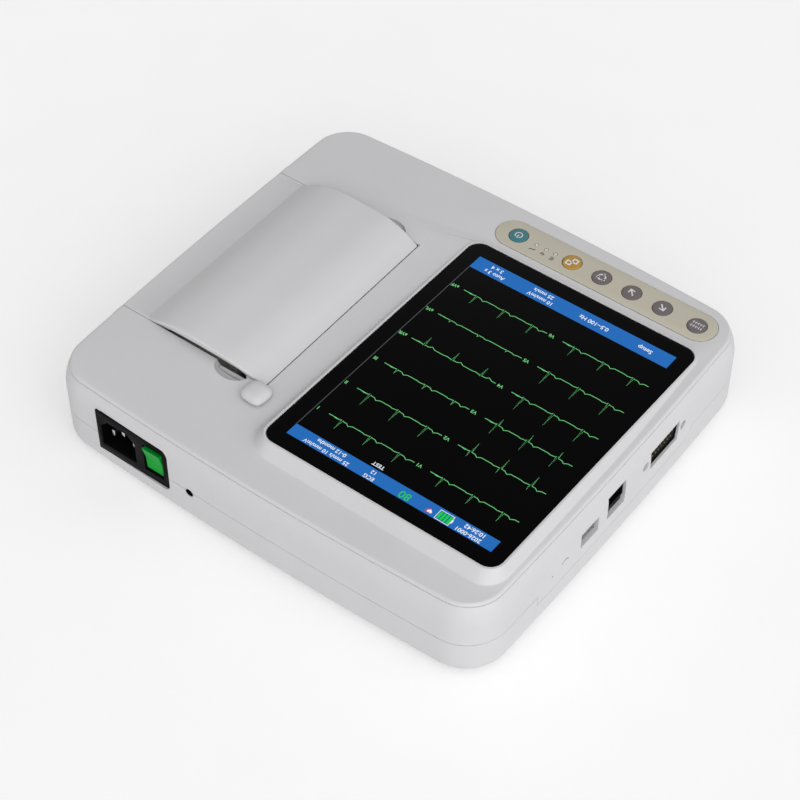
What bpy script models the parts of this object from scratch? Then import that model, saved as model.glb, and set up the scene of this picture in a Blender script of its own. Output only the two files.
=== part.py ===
"""Veterinary ECG machine: a desktop case with a touch screen, a key strip and a paper printer."""

import math

import bmesh
import bpy
from mathutils import Matrix, Vector

MM = 0.001

# Running clearance between pieces, the closer one of seated pins, and how far a cutter reaches past
GAP = 0.3 * MM
PRESS_GAP = 0.03 * MM
OVERRUN = 4.0 * MM

# Screen and printer, and the margins round them: the case's plan follows from these
GLASS_WIDTH = 138.45 * MM
GLASS_LENGTH = 179.27 * MM
PRINTER_WIDTH = 95.0 * MM
GLASS_MARGIN = 7.375 * MM
GLASS_REAR_MARGIN = 21.865 * MM
GLASS_FRONT_MARGIN = 31.865 * MM
PRINTER_MARGIN = 21.575 * MM
PRINTER_REAR_MARGIN = 51.8 * MM
PRINTER_FRONT_MARGIN = 53.0 * MM

# Case outline, seen from above, with its sides bowed outwards
BODY_HALF_X = 0.5 * (GLASS_MARGIN + GLASS_WIDTH + PRINTER_MARGIN + PRINTER_WIDTH)
BODY_HALF_Y = 0.5 * (GLASS_REAR_MARGIN + GLASS_LENGTH + GLASS_FRONT_MARGIN)
BODY_BOW_X = 2.0 * MM
BODY_BOW_Y = 4.0 * MM
BODY_CORNER = 18.6 * MM
CORNER_STEPS = 6
SIDE_STEPS = 6

# Case section, from its base up to the top plate
BASE_Z = 2.5 * MM
BASE_ROUND = 6.5 * MM
BASE_INSET = 2.0 * MM
SEAM_Z = 24.3 * MM
BULGE = 2.8 * MM
BULGE_TOP_Z = 37.0 * MM
CREASE_Z = 49.7 * MM
CREASE_INSET = 0.3 * MM
TOP_Z = 51.3 * MM
TOP_INSET = 2.0 * MM
WALL = 2.6 * MM
BEND_STEPS = 4

# Tongue of the upper shell that carries the sockets, on the left wall
TONGUE_Z = 18.2 * MM
TONGUE_REAR_Y = 73.0 * MM
TONGUE_FRONT_Y = -54.0 * MM
TONGUE_RADIUS = 12.0 * MM
TONGUE_DEPTH = 10.0 * MM

# Screen
GLASS_X = GLASS_MARGIN + 0.5 * GLASS_WIDTH - BODY_HALF_X
GLASS_Y = BODY_HALF_Y - GLASS_REAR_MARGIN - 0.5 * GLASS_LENGTH
GLASS_Z = 54.5 * MM
GLASS_CORNER = 7.5 * MM
GLASS_THICKNESS = 1.8 * MM
GLASS_TILT = math.radians(1.884)
GLASS_RIM = 1.5 * MM
PLATFORM_SLOPE_SHARE = 0.85
PLATFORM_CORNER_POWER = 8
LCD_BORDER = 6.225 * MM
LCD_END_BORDER = 6.635 * MM
LCD_WIDTH = GLASS_WIDTH - 2 * LCD_BORDER
LCD_LENGTH = GLASS_LENGTH - 2 * LCD_END_BORDER
LCD_THICKNESS = 4.6 * MM
BRACKET_MARGIN = 4.0 * MM
BRACKET_THICKNESS = 1.2 * MM
BRACKET_RAIL = 3.0 * MM

# Key strip
STRIP_SHIFT = 1.35 * MM
STRIP_MARGIN = 15.9 * MM
STRIP_SHORTFALL = 3.75 * MM
STRIP_X = GLASS_X - STRIP_SHIFT
STRIP_Y = STRIP_MARGIN - BODY_HALF_Y
STRIP_LENGTH = GLASS_WIDTH - STRIP_SHORTFALL
STRIP_WIDTH = 20.2 * MM
STRIP_THICKNESS = 0.6 * MM
KEY_RADIUS = 5.25 * MM
KEY_RISE = 0.7 * MM
KEY_CROWN = 0.4 * MM
KEY_TRAVEL = 1.0 * MM
KEY_FLANGE = 0.8 * MM
KEY_FLANGE_THICKNESS = 0.8 * MM
KEY_FOOT = 1.7 * MM
KEY_FOOT_RADIUS = 2.5 * MM
KEY_POST_RADIUS = 1.3 * MM
KEY_POST_MARGIN = 3.5 * MM
KEY_SHARES = (
    ("power_key", 0.4042),
    ("mode_key", 0.1511),
    ("feed_key", 0.0130),
    ("up_key", -0.1251),
    ("down_key", -0.2639),
    ("print_key", -0.4191),
)
KEY_COLOURS = {
    "power_key": (0.15, 0.27, 0.31),
    "mode_key": (0.53, 0.38, 0.15),
    "feed_key": (0.27, 0.24, 0.25),
    "up_key": (0.2, 0.17, 0.17),
    "down_key": (0.2, 0.17, 0.17),
    "print_key": (0.3, 0.26, 0.27),
}
LAMP_SHARES = (
    ("lamp_1", 0.3181),
    ("lamp_2", 0.2721),
    ("lamp_3", 0.2290),
)
LAMP_RADIUS = 0.9 * MM
LAMP_RISE = 0.2 * MM
KEY_BOARD_WIDTH = 15.0 * MM
KEY_BOARD_THICKNESS = 1.6 * MM
SWITCH_RADIUS = 3.0 * MM
SWITCH_HEIGHT = 1.2 * MM

# Printer door: its opening, its hump and its hinge
DOOR_SLOT_X = BODY_HALF_X - PRINTER_WIDTH
DOOR_REAR_Y = BODY_HALF_Y - PRINTER_REAR_MARGIN
DOOR_FRONT_Y = PRINTER_FRONT_MARGIN - BODY_HALF_Y
DOOR_WALL = 1.8 * MM
HUMP_MARGIN = 15.7 * MM
HUMP_END_X = BODY_HALF_X - HUMP_MARGIN
HUMP_HEIGHT = 8.1 * MM
HUMP_OVERHANG = 1.8 * MM
HUMP_SHARES = (
    (0.0, 0.0),
    (0.06, 0.21),
    (0.135, 0.49),
    (0.21, 0.69),
    (0.285, 0.83),
    (0.36, 0.89),
    (0.44, 0.93),
    (0.52, 0.975),
    (0.59, 1.0),
    (0.665, 0.975),
    (0.74, 0.89),
    (0.815, 0.75),
    (0.89, 0.5),
    (0.955, 0.2),
    (1.0, 0.0),
)
END_RELIEF_HEIGHT = 1.3 * MM
END_RELIEF_DEPTH = 1.2 * MM
END_RELIEF_SHARES = (0.4, 0.9)
HINGE_INSET = 2.7 * MM
HINGE_X = BODY_HALF_X - HINGE_INSET
HINGE_Z = 46.5 * MM
HINGE_PIN_RADIUS = 1.5 * MM
KNUCKLE_RADIUS = 4.0 * MM
KNUCKLE_LENGTH = 12.0 * MM
KNUCKLE_INSET = 2.0 * MM
LUG_DEPTH = 6.0 * MM
LUG_WIDTH = 8.0 * MM
LUG_HEIGHT = 8.0 * MM
SCOOP_OFFSET = 21.3 * MM
SCOOP_X = DOOR_SLOT_X + SCOOP_OFFSET
SCOOP_HALF_LENGTH = 10.2 * MM
SCOOP_HALF_WIDTH = 7.6 * MM
SCOOP_DEPTH = 4.6 * MM
SCOOP_WALL = 1.6 * MM
SCOOP_STEPS = 6

# Print works: roller, gears, motor, print head and paper
ROLLER_OFFSET = 7.3 * MM
ROLLER_X = DOOR_SLOT_X + ROLLER_OFFSET
ROLLER_Z = 47.5 * MM
ROLLER_RADIUS = 3.5 * MM
ROLLER_SHAFT_RADIUS = 1.5 * MM
EAR_LEFT_REACH = 5.0 * MM
EAR_RIGHT_REACH = 5.5 * MM
EAR_LEFT_X = ROLLER_X - EAR_LEFT_REACH
EAR_RIGHT_X = ROLLER_X + EAR_RIGHT_REACH
EAR_BASE_Z = 41.0 * MM
EAR_THICKNESS = 2.2 * MM
LATCH_EAR_THICKNESS = 6.0 * MM
GEAR_MODULE = 0.45 * MM
GEAR_WIDTH = 2.5 * MM
TOOTH_TIP_SHARE = 0.8
TOOTH_ROOT_SHARE = 1.1
TOOTH_FOOT_SHARE = 0.31
TOOTH_FACE_SHARE = 0.13
ROLLER_TEETH = 16
IDLER_TEETH = 24
PINION_TEETH = 12
IDLER_SIDE = 3.0 * MM
PINION_STEPS = 10
IDLER_AXLE_RADIUS = 1.5 * MM
PINION_SHAFT_RADIUS = 1.0 * MM
MOTOR_RADIUS = 9.0 * MM
MOTOR_LENGTH = 19.0 * MM
HEAD_WIDTH = 7.0 * MM
HEAD_HEIGHT = 3.7 * MM
HEAD_BRACKET = 2.2 * MM
TUB_MARGIN = 11.6 * MM
TUB_OVERLAP = 0.2 * MM
TUB_LEFT_X = DOOR_SLOT_X - TUB_OVERLAP
TUB_RIGHT_X = BODY_HALF_X - TUB_MARGIN
TUB_BASE_Z = 5.4 * MM
TUB_WALL = 1.6 * MM
TUB_FLOOR = 2.0 * MM
ROLL_PLACE_SHARE = 0.5242
ROLL_X = DOOR_SLOT_X + ROLL_PLACE_SHARE * PRINTER_WIDTH
ROLL_Z = 32.3 * MM
ROLL_RADIUS = 23.5 * MM
ROLL_MARGIN = 9.1 * MM
ROLL_LENGTH = DOOR_REAR_Y - DOOR_FRONT_Y - 2 * ROLL_MARGIN
SPINDLE_RADIUS = 6.0 * MM
JOURNAL_RADIUS = 3.0 * MM
JOURNAL_STEPS = 10
ROUND_STEPS = 32
SMALL_STEPS = 16
KEY_STEPS = 20

# Latch: a round-nosed button over a sliding hook plate
BUTTON_OFFSET = 0.3 * MM
BUTTON_REACH = 7.45 * MM
BUTTON_X = DOOR_SLOT_X - BUTTON_OFFSET
BUTTON_Y = DOOR_REAR_Y + BUTTON_REACH
BUTTON_HALF_LENGTH = 7.3 * MM
BUTTON_HALF_WIDTH = 6.8 * MM
BUTTON_SQUARE_SHARE = 0.62
BUTTON_DOME_SHARE = 2.4
BUTTON_TIP_SHARE = 0.02
BUTTON_RING_SHARES = (0.0, 0.12, 0.35, 0.6, 0.8, 0.93, 1.0)
BUTTON_TURN = math.radians(-6.0)
BUTTON_RISE = 4.0 * MM
BUTTON_TRAVEL = 1.2 * MM
BUTTON_STEM_WIDTH = 5.0 * MM
BUTTON_STEM_DEPTH = 6.0 * MM
BUTTON_FOOT_Z = 42.5 * MM
CAM_SHARE = 0.8
LATCH_TRAVEL = 1.8 * MM
LATCH_Z = 43.0 * MM
LATCH_THICKNESS = 1.6 * MM
LATCH_BODY_WIDTH = 8.4 * MM
LATCH_BODY_OFFSET = 0.8 * MM
LATCH_NOSE_OFFSET = 3.7 * MM
LATCH_NOSE_WIDTH = 3.2 * MM
LATCH_REACH = 10.3 * MM
LATCH_BODY_X = DOOR_SLOT_X - LATCH_BODY_OFFSET
LATCH_LEFT_X = LATCH_BODY_X - LATCH_BODY_WIDTH
LATCH_NOSE_X = DOOR_SLOT_X + LATCH_NOSE_OFFSET
LATCH_REACH_Y = DOOR_REAR_Y + LATCH_REACH

# Mains side, on the rear wall
INLET_MARGIN = 31.0 * MM
INLET_WIDTH = 47.9 * MM
INLET_RIGHT_X = BODY_HALF_X - INLET_MARGIN
INLET_LEFT_X = INLET_RIGHT_X - INLET_WIDTH
INLET_BASE_Z = 14.0 * MM
INLET_TOP_Z = 42.0 * MM
INLET_STAND = 5.1 * MM
INLET_FACE_Y = BODY_HALF_Y + INLET_STAND
INLET_DEPTH = 25.0 * MM
SOCKET_WIDTH = 22.5 * MM
SOCKET_HEIGHT = 18.0 * MM
SOCKET_DEPTH = 17.0 * MM
SOCKET_INSET = 14.2 * MM
SOCKET_X = INLET_RIGHT_X - SOCKET_INSET
SOCKET_CHAMFER = 4.5 * MM
PIN_WIDTH = 4.0 * MM
PIN_THICKNESS = 2.0 * MM
PIN_LENGTH = 15.0 * MM
PIN_SPACING = 14.0 * MM
PIN_RAISE = 4.0 * MM
ROCKER_INSET = 4.9 * MM
ROCKER_WIDTH = 11.2 * MM
ROCKER_HEIGHT = 17.4 * MM
ROCKER_LEFT_X = INLET_LEFT_X + ROCKER_INSET
ROCKER_RIGHT_X = ROCKER_LEFT_X + ROCKER_WIDTH
ROCKER_DEPTH = 9.0 * MM
ROCKER_SWING = math.radians(9.5)
ROCKER_RISE = 0.25 * MM
ROCKER_DISH = 1.0 * MM
ROCKER_SHOULDER_SHARE = 0.3
EARTH_OFFSET = 13.6 * MM
EARTH_X = INLET_LEFT_X - EARTH_OFFSET
EARTH_Z = 22.9 * MM
EARTH_HOLE_RADIUS = 2.9 * MM
EARTH_COLLAR_RADIUS = 2.5 * MM
EARTH_STUD_RADIUS = 1.5 * MM
EARTH_BORE_SHARE = 0.8
EARTH_STAND = 4.9 * MM
EARTH_FACE_Y = BODY_HALF_Y + EARTH_STAND
EARTH_LENGTH = 12.0 * MM
EARTH_COLLAR_LENGTH = 3.0 * MM

# Sockets on the left wall
SOCKET_STAND = 3.4 * MM
SOCKET_FACE_X = -BODY_HALF_X - SOCKET_STAND
SOCKET_BODY_DEPTH = 16.0 * MM
ECG_Y = -36.0 * MM
ECG_Z = 33.9 * MM
ECG_WIDTH = 24.6 * MM
ECG_HEIGHT = 10.2 * MM
ECG_SLANT_SHARE = 0.08
ECG_RIM = 0.8 * MM
ECG_FLANGE_WIDTH = 42.0 * MM
ECG_FLANGE_HEIGHT = 12.6 * MM
ECG_FLANGE_THICKNESS = 1.0 * MM
ECG_PIN_PITCH = 2.75 * MM
ECG_PIN_RADIUS = 0.5 * MM
ECG_PIN_STEPS = 6
ECG_BODY_DEPTH = 8.0 * MM
ECG_BODY_FLOOR = 1.6 * MM
ECG_ROWS = (7, 8)
JACK_SPACING = 34.6 * MM
JACK_RADIUS = 2.3 * MM
JACK_LENGTH = 8.0 * MM
JACK_STEPS = 12
JACK_SHANK_SHARE = 0.6
JACK_THREAD_SHARE = 0.45
LAN_Y = 7.5 * MM
LAN_Z = 36.0 * MM
LAN_WIDTH = 13.2 * MM
LAN_HEIGHT = 8.6 * MM
LAN_DEPTH = 11.0 * MM
USB_Y = 30.35 * MM
USB_Z = 31.7 * MM
USB_WIDTH = 12.6 * MM
USB_HEIGHT = 6.4 * MM
USB_DEPTH = 10.0 * MM
USB_TONGUE = 1.6 * MM
USB_TONGUE_SHARE = 0.4
SOCKET_FOOT_SHARE = 0.9
SHELL_OF_SOCKET = 0.8 * MM

# Boards, battery, loudspeaker, feet and screws
BOARD_THICKNESS = 1.6 * MM
MAIN_BOARD_Z = 24.6 * MM
MAIN_BOARD_MARGIN = 16.2 * MM
MAIN_BOARD_RIGHT_X = DOOR_SLOT_X - MAIN_BOARD_MARGIN
MAIN_BOARD_FRONT_SHARE = 0.75
MAIN_BOARD_LENGTH = 130.0 * MM
POWER_BOARD_Z = 8.0 * MM
POWER_BOARD_WIDTH = 68.0 * MM
POWER_BOARD_LENGTH = 38.0 * MM
POWER_BOARD_INSET = 59.2 * MM
POWER_BOARD_END_INSET = 24.5 * MM
POWER_BOARD_X = BODY_HALF_X - POWER_BOARD_INSET
POWER_BOARD_Y = BODY_HALF_Y - POWER_BOARD_END_INSET
POST_RADIUS = 3.0 * MM
BATTERY_SHIFT = 5.4 * MM
BATTERY_X = GLASS_X - BATTERY_SHIFT
BATTERY_Y = 20.0 * MM
BATTERY_WIDTH = 90.0 * MM
BATTERY_LENGTH = 70.0 * MM
BATTERY_HEIGHT = 16.0 * MM
COVER_MARGIN = 4.0 * MM
COVER_THICKNESS = 1.8 * MM
SPEAKER_INSET = 36.2 * MM
SPEAKER_END_INSET = 36.5 * MM
SPEAKER_X = SPEAKER_INSET - BODY_HALF_X
SPEAKER_Y = SPEAKER_END_INSET - BODY_HALF_Y
SPEAKER_RADIUS = 14.0 * MM
SPEAKER_HEIGHT = 6.0 * MM
SPEAKER_RIM_SHARE = 0.4
SPEAKER_MAGNET_SHARE = 0.6
FOOT_INSET = 23.2 * MM
FOOT_END_INSET = 34.5 * MM
FOOT_X = BODY_HALF_X - FOOT_INSET
FOOT_Y = BODY_HALF_Y - FOOT_END_INSET
FOOT_RADIUS = 8.0 * MM
FOOT_RECESS = 0.8 * MM
SCREW_SHIFT = 5.4 * MM
SCREW_FRONT_INSET = 29.7 * MM
SCREW_REAR_INSET = 13.5 * MM
CORNER_SCREW_INSET = 21.2 * MM
CORNER_SCREW_END_INSET = 18.5 * MM
REAR_SCREW_INSET = 19.2 * MM
REAR_SCREW_END_INSET = 17.5 * MM
SCREW_PLACES = (
    (GLASS_X - SCREW_SHIFT, SCREW_FRONT_INSET - BODY_HALF_Y),
    (GLASS_X - SCREW_SHIFT, BODY_HALF_Y - SCREW_REAR_INSET),
    (BODY_HALF_X - CORNER_SCREW_INSET, CORNER_SCREW_END_INSET - BODY_HALF_Y),
    (BODY_HALF_X - REAR_SCREW_INSET, BODY_HALF_Y - REAR_SCREW_END_INSET),
)
BOSS_RADIUS = 4.0 * MM
SCREW_HEAD_RADIUS = 2.6 * MM
SCREW_HEAD_HEIGHT = 2.0 * MM
SCREW_RADIUS = 1.4 * MM
SCREW_TOP_Z = 32.0 * MM

CASE_COLOUR = (0.62, 0.61, 0.61)
WHITE_PLASTIC = (CASE_COLOUR, 0.45, 0.0)
BLACK_PLASTIC = ((0.02, 0.02, 0.02), 0.4, 0.0)
GREY_PLASTIC = ((0.2, 0.2, 0.2), 0.5, 0.0)
GREEN_PLASTIC = ((0.02, 0.4, 0.06), 0.35, 0.0)
STEEL = ((0.6, 0.6, 0.6), 0.3, 1.0)
BRASS = ((0.7, 0.5, 0.2), 0.3, 1.0)
RUBBER = ((0.03, 0.03, 0.03), 0.8, 0.0)
PAPER = ((0.85, 0.85, 0.82), 0.8, 0.0)
BOARD = ((0.02, 0.15, 0.06), 0.5, 0.0)
DARK_GLASS = ((0.005, 0.005, 0.005), 0.08, 0.0)
STRIP_COLOUR = ((0.45, 0.42, 0.34), 0.5, 0.0)


def combine(*shapes):
    """One (points, faces) pair out of several."""
    points = []
    faces = []
    for more_points, more_faces in shapes:
        start = len(points)
        points.extend(more_points)
        faces.extend([[start + i for i in face] for face in more_faces])
    return points, faces


def loft(rings):
    """A closed skin over rings of equally many points."""
    count = len(rings[0])
    points = [point for ring in rings for point in ring]
    faces = [list(range(count)), list(range(len(points) - count, len(points)))]
    for level in range(len(rings) - 1):
        for i in range(count):
            j = (i + 1) % count
            low = level * count
            faces.append([low + i, low + j, low + count + j, low + count + i])
    return points, faces


def place(axis, along, first, second):
    """A point from its place along an axis and its two coordinates across it."""
    if axis == "X":
        return along, first, second
    if axis == "Y":
        return first, along, second
    return first, second, along


def prism(outline, axis, start, end):
    return loft([[place(axis, along, a, b) for a, b in outline] for along in (start, end)])


def block(low, high):
    corners = [(low[0], low[1]), (high[0], low[1]), (high[0], high[1]), (low[0], high[1])]
    return prism(corners, "Z", low[2], high[2])


def circle(first, second, radius, count=SMALL_STEPS):
    turn = math.tau / count
    return [
        (first + radius * math.cos(i * turn), second + radius * math.sin(i * turn))
        for i in range(count)
    ]


def rod(axis, first, second, radius, start, end, count=SMALL_STEPS):
    return prism(circle(first, second, radius, count), axis, start, end)


def turned(axis, first, second, profile, count=SMALL_STEPS):
    """A solid of revolution from (place along the axis, radius) pairs."""
    return loft([
        [place(axis, along, a, b) for a, b in circle(first, second, radius, count)]
        for along, radius in profile
    ])


def rounded(left, right, front, rear, radius, steps=3):
    """A rectangle with round corners, anticlockwise from its right rear corner."""
    points = []
    centres = (
        (right - radius, rear - radius, 0.0),
        (left + radius, rear - radius, 0.5 * math.pi),
        (left + radius, front + radius, math.pi),
        (right - radius, front + radius, 1.5 * math.pi),
    )
    for x, y, start in centres:
        for step in range(steps + 1):
            angle = start + 0.5 * math.pi * step / steps
            points.append((x + radius * math.cos(angle), y + radius * math.sin(angle)))
    return points


def set_material(item, finish):
    colour, roughness, metallic = finish
    material = bpy.data.materials.new(item.name)
    material.use_nodes = True
    shader = material.node_tree.nodes["Principled BSDF"]
    shader.inputs["Base Color"].default_value = (*colour, 1.0)
    shader.inputs["Roughness"].default_value = roughness
    shader.inputs["Metallic"].default_value = metallic
    item.data.materials.append(material)


def make(name, shape, finish=None):
    """An object from a shape; without a finish it is a hidden tool that cuts or joins."""
    points, faces = shape
    mesh = bpy.data.meshes.new(name)
    mesh.from_pydata([Vector(point) for point in points], [], faces)
    work = bmesh.new()
    work.from_mesh(mesh)
    bmesh.ops.recalc_face_normals(work, faces=work.faces)
    work.to_mesh(mesh)
    work.free()
    item = bpy.data.objects.new(name, mesh)
    bpy.context.scene.collection.objects.link(item)
    if finish:
        set_material(item, finish)
        mesh.shade_smooth()
        mesh.set_sharp_from_angle(angle=math.radians(30.0))
    else:
        item.hide_render = True
        item.display_type = "WIRE"
    return item


def use_tool(item, operation, label, shape):
    """Adds a Boolean with a hidden tool made from the shape."""
    tool = make(f"{item.name}_{label}", shape)
    step = item.modifiers.new(label, "BOOLEAN")
    step.operation = operation
    step.object = tool
    return tool


def cut(item, label, shape):
    return use_tool(item, "DIFFERENCE", label, shape)


def join(item, label, shape):
    return use_tool(item, "UNION", label, shape)


def keep(item, label, shape):
    return use_tool(item, "INTERSECT", label, shape)


def sign(value):
    return math.copysign(1.0, value) if value else 0.0


def case_ring(offset, z):
    """The bowed outline of the case, moved outwards by an offset."""
    half_x = BODY_HALF_X + offset
    half_y = BODY_HALF_Y + offset
    plain = rounded(-half_x, half_x, -half_y, half_y, BODY_CORNER + offset, CORNER_STEPS)
    ring = []
    for index, (x, y) in enumerate(plain):
        next_x, next_y = plain[(index + 1) % len(plain)]
        side = (index + 1) % (CORNER_STEPS + 1) == 0
        for step in range(SIDE_STEPS if side else 1):
            share = step / SIDE_STEPS
            a = x + (next_x - x) * share
            b = y + (next_y - y) * share
            u = a / half_x
            v = b / half_y
            bowed_x = a + sign(a) * BODY_BOW_X * abs(u) * (1.0 - v * v)
            bowed_y = b + sign(b) * BODY_BOW_Y * abs(v) * (1.0 - u * u)
            ring.append((bowed_x, bowed_y, z))
    return ring


def upper_section():
    """(offset, height) pairs of the upper wall, up to the edge of the top plate."""
    section = [(BULGE, TONGUE_Z - OVERRUN), (BULGE, BULGE_TOP_Z)]
    for step in range(1, BEND_STEPS + 1):
        share = step / BEND_STEPS
        offset = BULGE - (BULGE + CREASE_INSET) * share * share
        section.append((offset, BULGE_TOP_Z + (CREASE_Z - BULGE_TOP_Z) * share))
    for step in range(1, BEND_STEPS + 1):
        angle = 0.5 * math.pi * step / BEND_STEPS
        inset = CREASE_INSET + (TOP_INSET - CREASE_INSET) * (1.0 - math.cos(angle))
        section.append((-inset, CREASE_Z + (TOP_Z - CREASE_Z) * math.sin(angle)))
    return section


def lower_section():
    """(offset, height) pairs of the lower wall, from the base up past the seam."""
    section = []
    for step in range(BEND_STEPS + 1):
        angle = 0.5 * math.pi * step / BEND_STEPS
        offset = (BULGE + BASE_INSET) * math.sin(angle) - BASE_INSET
        section.append((offset, BASE_Z + BASE_ROUND * (1.0 - math.cos(angle))))
    section.append((BULGE, SEAM_Z + OVERRUN))
    return section


def case_loft(section, wall=0.0, drop=0.0):
    return loft([case_ring(offset - wall, z + drop) for offset, z in section])


def tongue_outline(grow, seam):
    """The parting line on the left wall, in (y, z), with its tongue grown by a clearance."""
    far = BODY_HALF_Y + BODY_BOW_Y + BULGE + OVERRUN
    low = TONGUE_Z - grow
    radius = TONGUE_RADIUS + grow
    centre_z = low + radius
    limit = math.acos((centre_z - seam) / radius)
    points = [(far, seam), (TONGUE_REAR_Y + grow, seam), (TONGUE_REAR_Y + grow, low)]
    for step in range(BEND_STEPS + 1):
        angle = limit * step / BEND_STEPS
        points.append((TONGUE_FRONT_Y - radius * math.sin(angle), centre_z - radius * math.cos(angle)))
    points.append((-far, seam))
    return points, far


def parting_cut(grow, seam, far_z):
    """What lies past the parting line: below it for the upper shell, above it for the lower."""
    line, far = tongue_outline(grow, seam)
    side = BODY_HALF_X + BODY_BOW_X + BULGE + OVERRUN
    inner = TONGUE_DEPTH - side
    tongued = prism([*line, (-far, far_z), (far, far_z)], "X", -side, inner)
    low, high = sorted((seam, far_z))
    plain = block((inner - GAP, -far, low), (side, far, high))
    return tongued, plain


def glass_height(y):
    return GLASS_Z + (y - GLASS_Y) * math.tan(GLASS_TILT)


def tilted(width, length, radius, top, bottom):
    """A slab parallel to the glass, between two depths under its face."""
    turn = Matrix.Rotation(GLASS_TILT, 3, "X")
    centre = Vector((GLASS_X, GLASS_Y, GLASS_Z))
    flat = rounded(-0.5 * width, 0.5 * width, -0.5 * length, 0.5 * length, radius)
    return loft([
        [tuple(centre + turn @ Vector((x, y, -depth))) for x, y in flat]
        for depth in (bottom, top)
    ])


def platform():
    """The sloping bank round the glass, down to the top plate."""
    left = GLASS_X - 0.5 * GLASS_WIDTH - GLASS_RIM
    right = GLASS_X + 0.5 * GLASS_WIDTH + GLASS_RIM
    front = GLASS_Y - 0.5 * GLASS_LENGTH - GLASS_RIM
    rear = GLASS_Y + 0.5 * GLASS_LENGTH + GLASS_RIM
    rise = glass_height(rear) - TOP_Z
    edge = rounded(left, right, front, rear, GLASS_CORNER + GLASS_RIM)
    foot = []
    for x, y in edge:
        run = PLATFORM_SLOPE_SHARE * max(glass_height(y) - TOP_Z, 0.0)
        across = (x - GLASS_X) / (right - GLASS_X)
        along = (y - GLASS_Y) / (rear - GLASS_Y)
        reach = max(abs(across), abs(along))
        foot.append((
            x + run * sign(across) * (abs(across) / reach) ** PLATFORM_CORNER_POWER,
            y + run * sign(along) * (abs(along) / reach) ** PLATFORM_CORNER_POWER,
        ))
    buried = 0.5 * min(WALL, rise)
    rings = [
        [(x, y, TOP_Z - buried) for x, y in foot],
        [(x, y, TOP_Z) for x, y in foot],
        [(x, y, glass_height(y)) for x, y in edge],
    ]
    return loft(rings)


def glass_cuts():
    """The glass's recess, the display's window and the pocket of its bracket."""
    seat = GLASS_THICKNESS + GAP
    lcd_floor = seat + LCD_THICKNESS
    pocket = BRACKET_MARGIN * 2 + GAP * 2
    recess = tilted(GLASS_WIDTH + 2 * GAP, GLASS_LENGTH + 2 * GAP, GLASS_CORNER + GAP, -OVERRUN, seat)
    window = tilted(LCD_WIDTH + 2 * GAP, LCD_LENGTH + 2 * GAP, GAP, 0.0, lcd_floor + 2 * OVERRUN)
    below = tilted(LCD_WIDTH + pocket, LCD_LENGTH + pocket, GAP, lcd_floor, lcd_floor + 2 * OVERRUN)
    return recess, window, below


def strip_places(shares):
    """Names and x places along the key strip, from shares of its length."""
    return [(name, STRIP_X + share * STRIP_LENGTH) for name, share in shares]


def strip_outline(grow=0.0):
    half = 0.5 * STRIP_LENGTH + grow
    width = 0.5 * STRIP_WIDTH + grow
    return rounded(STRIP_X - half, STRIP_X + half, STRIP_Y - width, STRIP_Y + width, width - PRESS_GAP, 6)


def key_holes(bottom, top):
    holes = [
        rod("Z", x, STRIP_Y, KEY_RADIUS + GAP, bottom, top)
        for _, x in strip_places(KEY_SHARES)
    ]
    lamps = [
        rod("Z", x, STRIP_Y, LAMP_RADIUS + GAP, bottom, top, 8)
        for _, x in strip_places(LAMP_SHARES)
    ]
    return combine(*holes, *lamps)


def door_opening():
    """What the door leaves open: its place in the top plate, and the cove that its skirt turns in."""
    side = BODY_HALF_X + BODY_BOW_X + BULGE + OVERRUN
    high = TOP_Z + HUMP_HEIGHT + OVERRUN
    reach = hinge_reach() + GAP
    arc = []
    for step in range(SMALL_STEPS + 1):
        angle = math.pi * step / SMALL_STEPS
        arc.append((HINGE_X - reach * math.cos(angle), HINGE_Z - reach * math.sin(angle)))
    outline = [(DOOR_SLOT_X, high), (DOOR_SLOT_X, HINGE_Z), *arc, (side, HINGE_Z), (side, high)]
    return prism(outline, "Y", DOOR_FRONT_Y, DOOR_REAR_Y)


def hinge_reach():
    """The greatest distance of the door's skirt from the hinge."""
    share = (HINGE_Z - BULGE_TOP_Z) / (CREASE_Z - BULGE_TOP_Z)
    return BODY_HALF_X + BODY_BOW_X - HINGE_X + BULGE - (BULGE + CREASE_INSET) * share * share


def lug_places():
    return (
        (DOOR_REAR_Y + GAP, DOOR_REAR_Y + GAP + LUG_DEPTH),
        (DOOR_FRONT_Y - GAP - LUG_DEPTH, DOOR_FRONT_Y - GAP),
    )


def hinge_lugs():
    base = HINGE_Z - 0.5 * LUG_HEIGHT
    half = 0.5 * LUG_WIDTH
    return combine(*[
        block((HINGE_X - half, start, base), (HINGE_X + half, end, TOP_Z - 0.5 * WALL))
        for start, end in lug_places()
    ])


def scoop(y):
    """The rings of a finger scoop's hollow: half an ellipsoid, from the top plate down."""
    rings = []
    for step in range(SCOOP_STEPS):
        angle = 0.5 * math.pi * step / SCOOP_STEPS
        size = math.cos(angle)
        rings.append([
            (
                SCOOP_X + SCOOP_HALF_LENGTH * size * math.cos(i * math.tau / ROUND_STEPS),
                y + SCOOP_HALF_WIDTH * size * math.sin(i * math.tau / ROUND_STEPS),
                TOP_Z - SCOOP_DEPTH * math.sin(angle),
            )
            for i in range(ROUND_STEPS)
        ])
    return rings


def scoop_bowls():
    margin = SCOOP_WALL + GAP
    low = TOP_Z - SCOOP_DEPTH - SCOOP_WALL
    half = SCOOP_HALF_LENGTH + SCOOP_WALL
    width = SCOOP_HALF_WIDTH + SCOOP_WALL
    top = TOP_Z - 0.5 * WALL
    return combine(
        block((SCOOP_X - half, DOOR_REAR_Y + margin, low), (SCOOP_X + half, DOOR_REAR_Y + width, top)),
        block((SCOOP_X - half, DOOR_FRONT_Y - width, low), (SCOOP_X + half, DOOR_FRONT_Y - margin, top)),
    )


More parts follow.
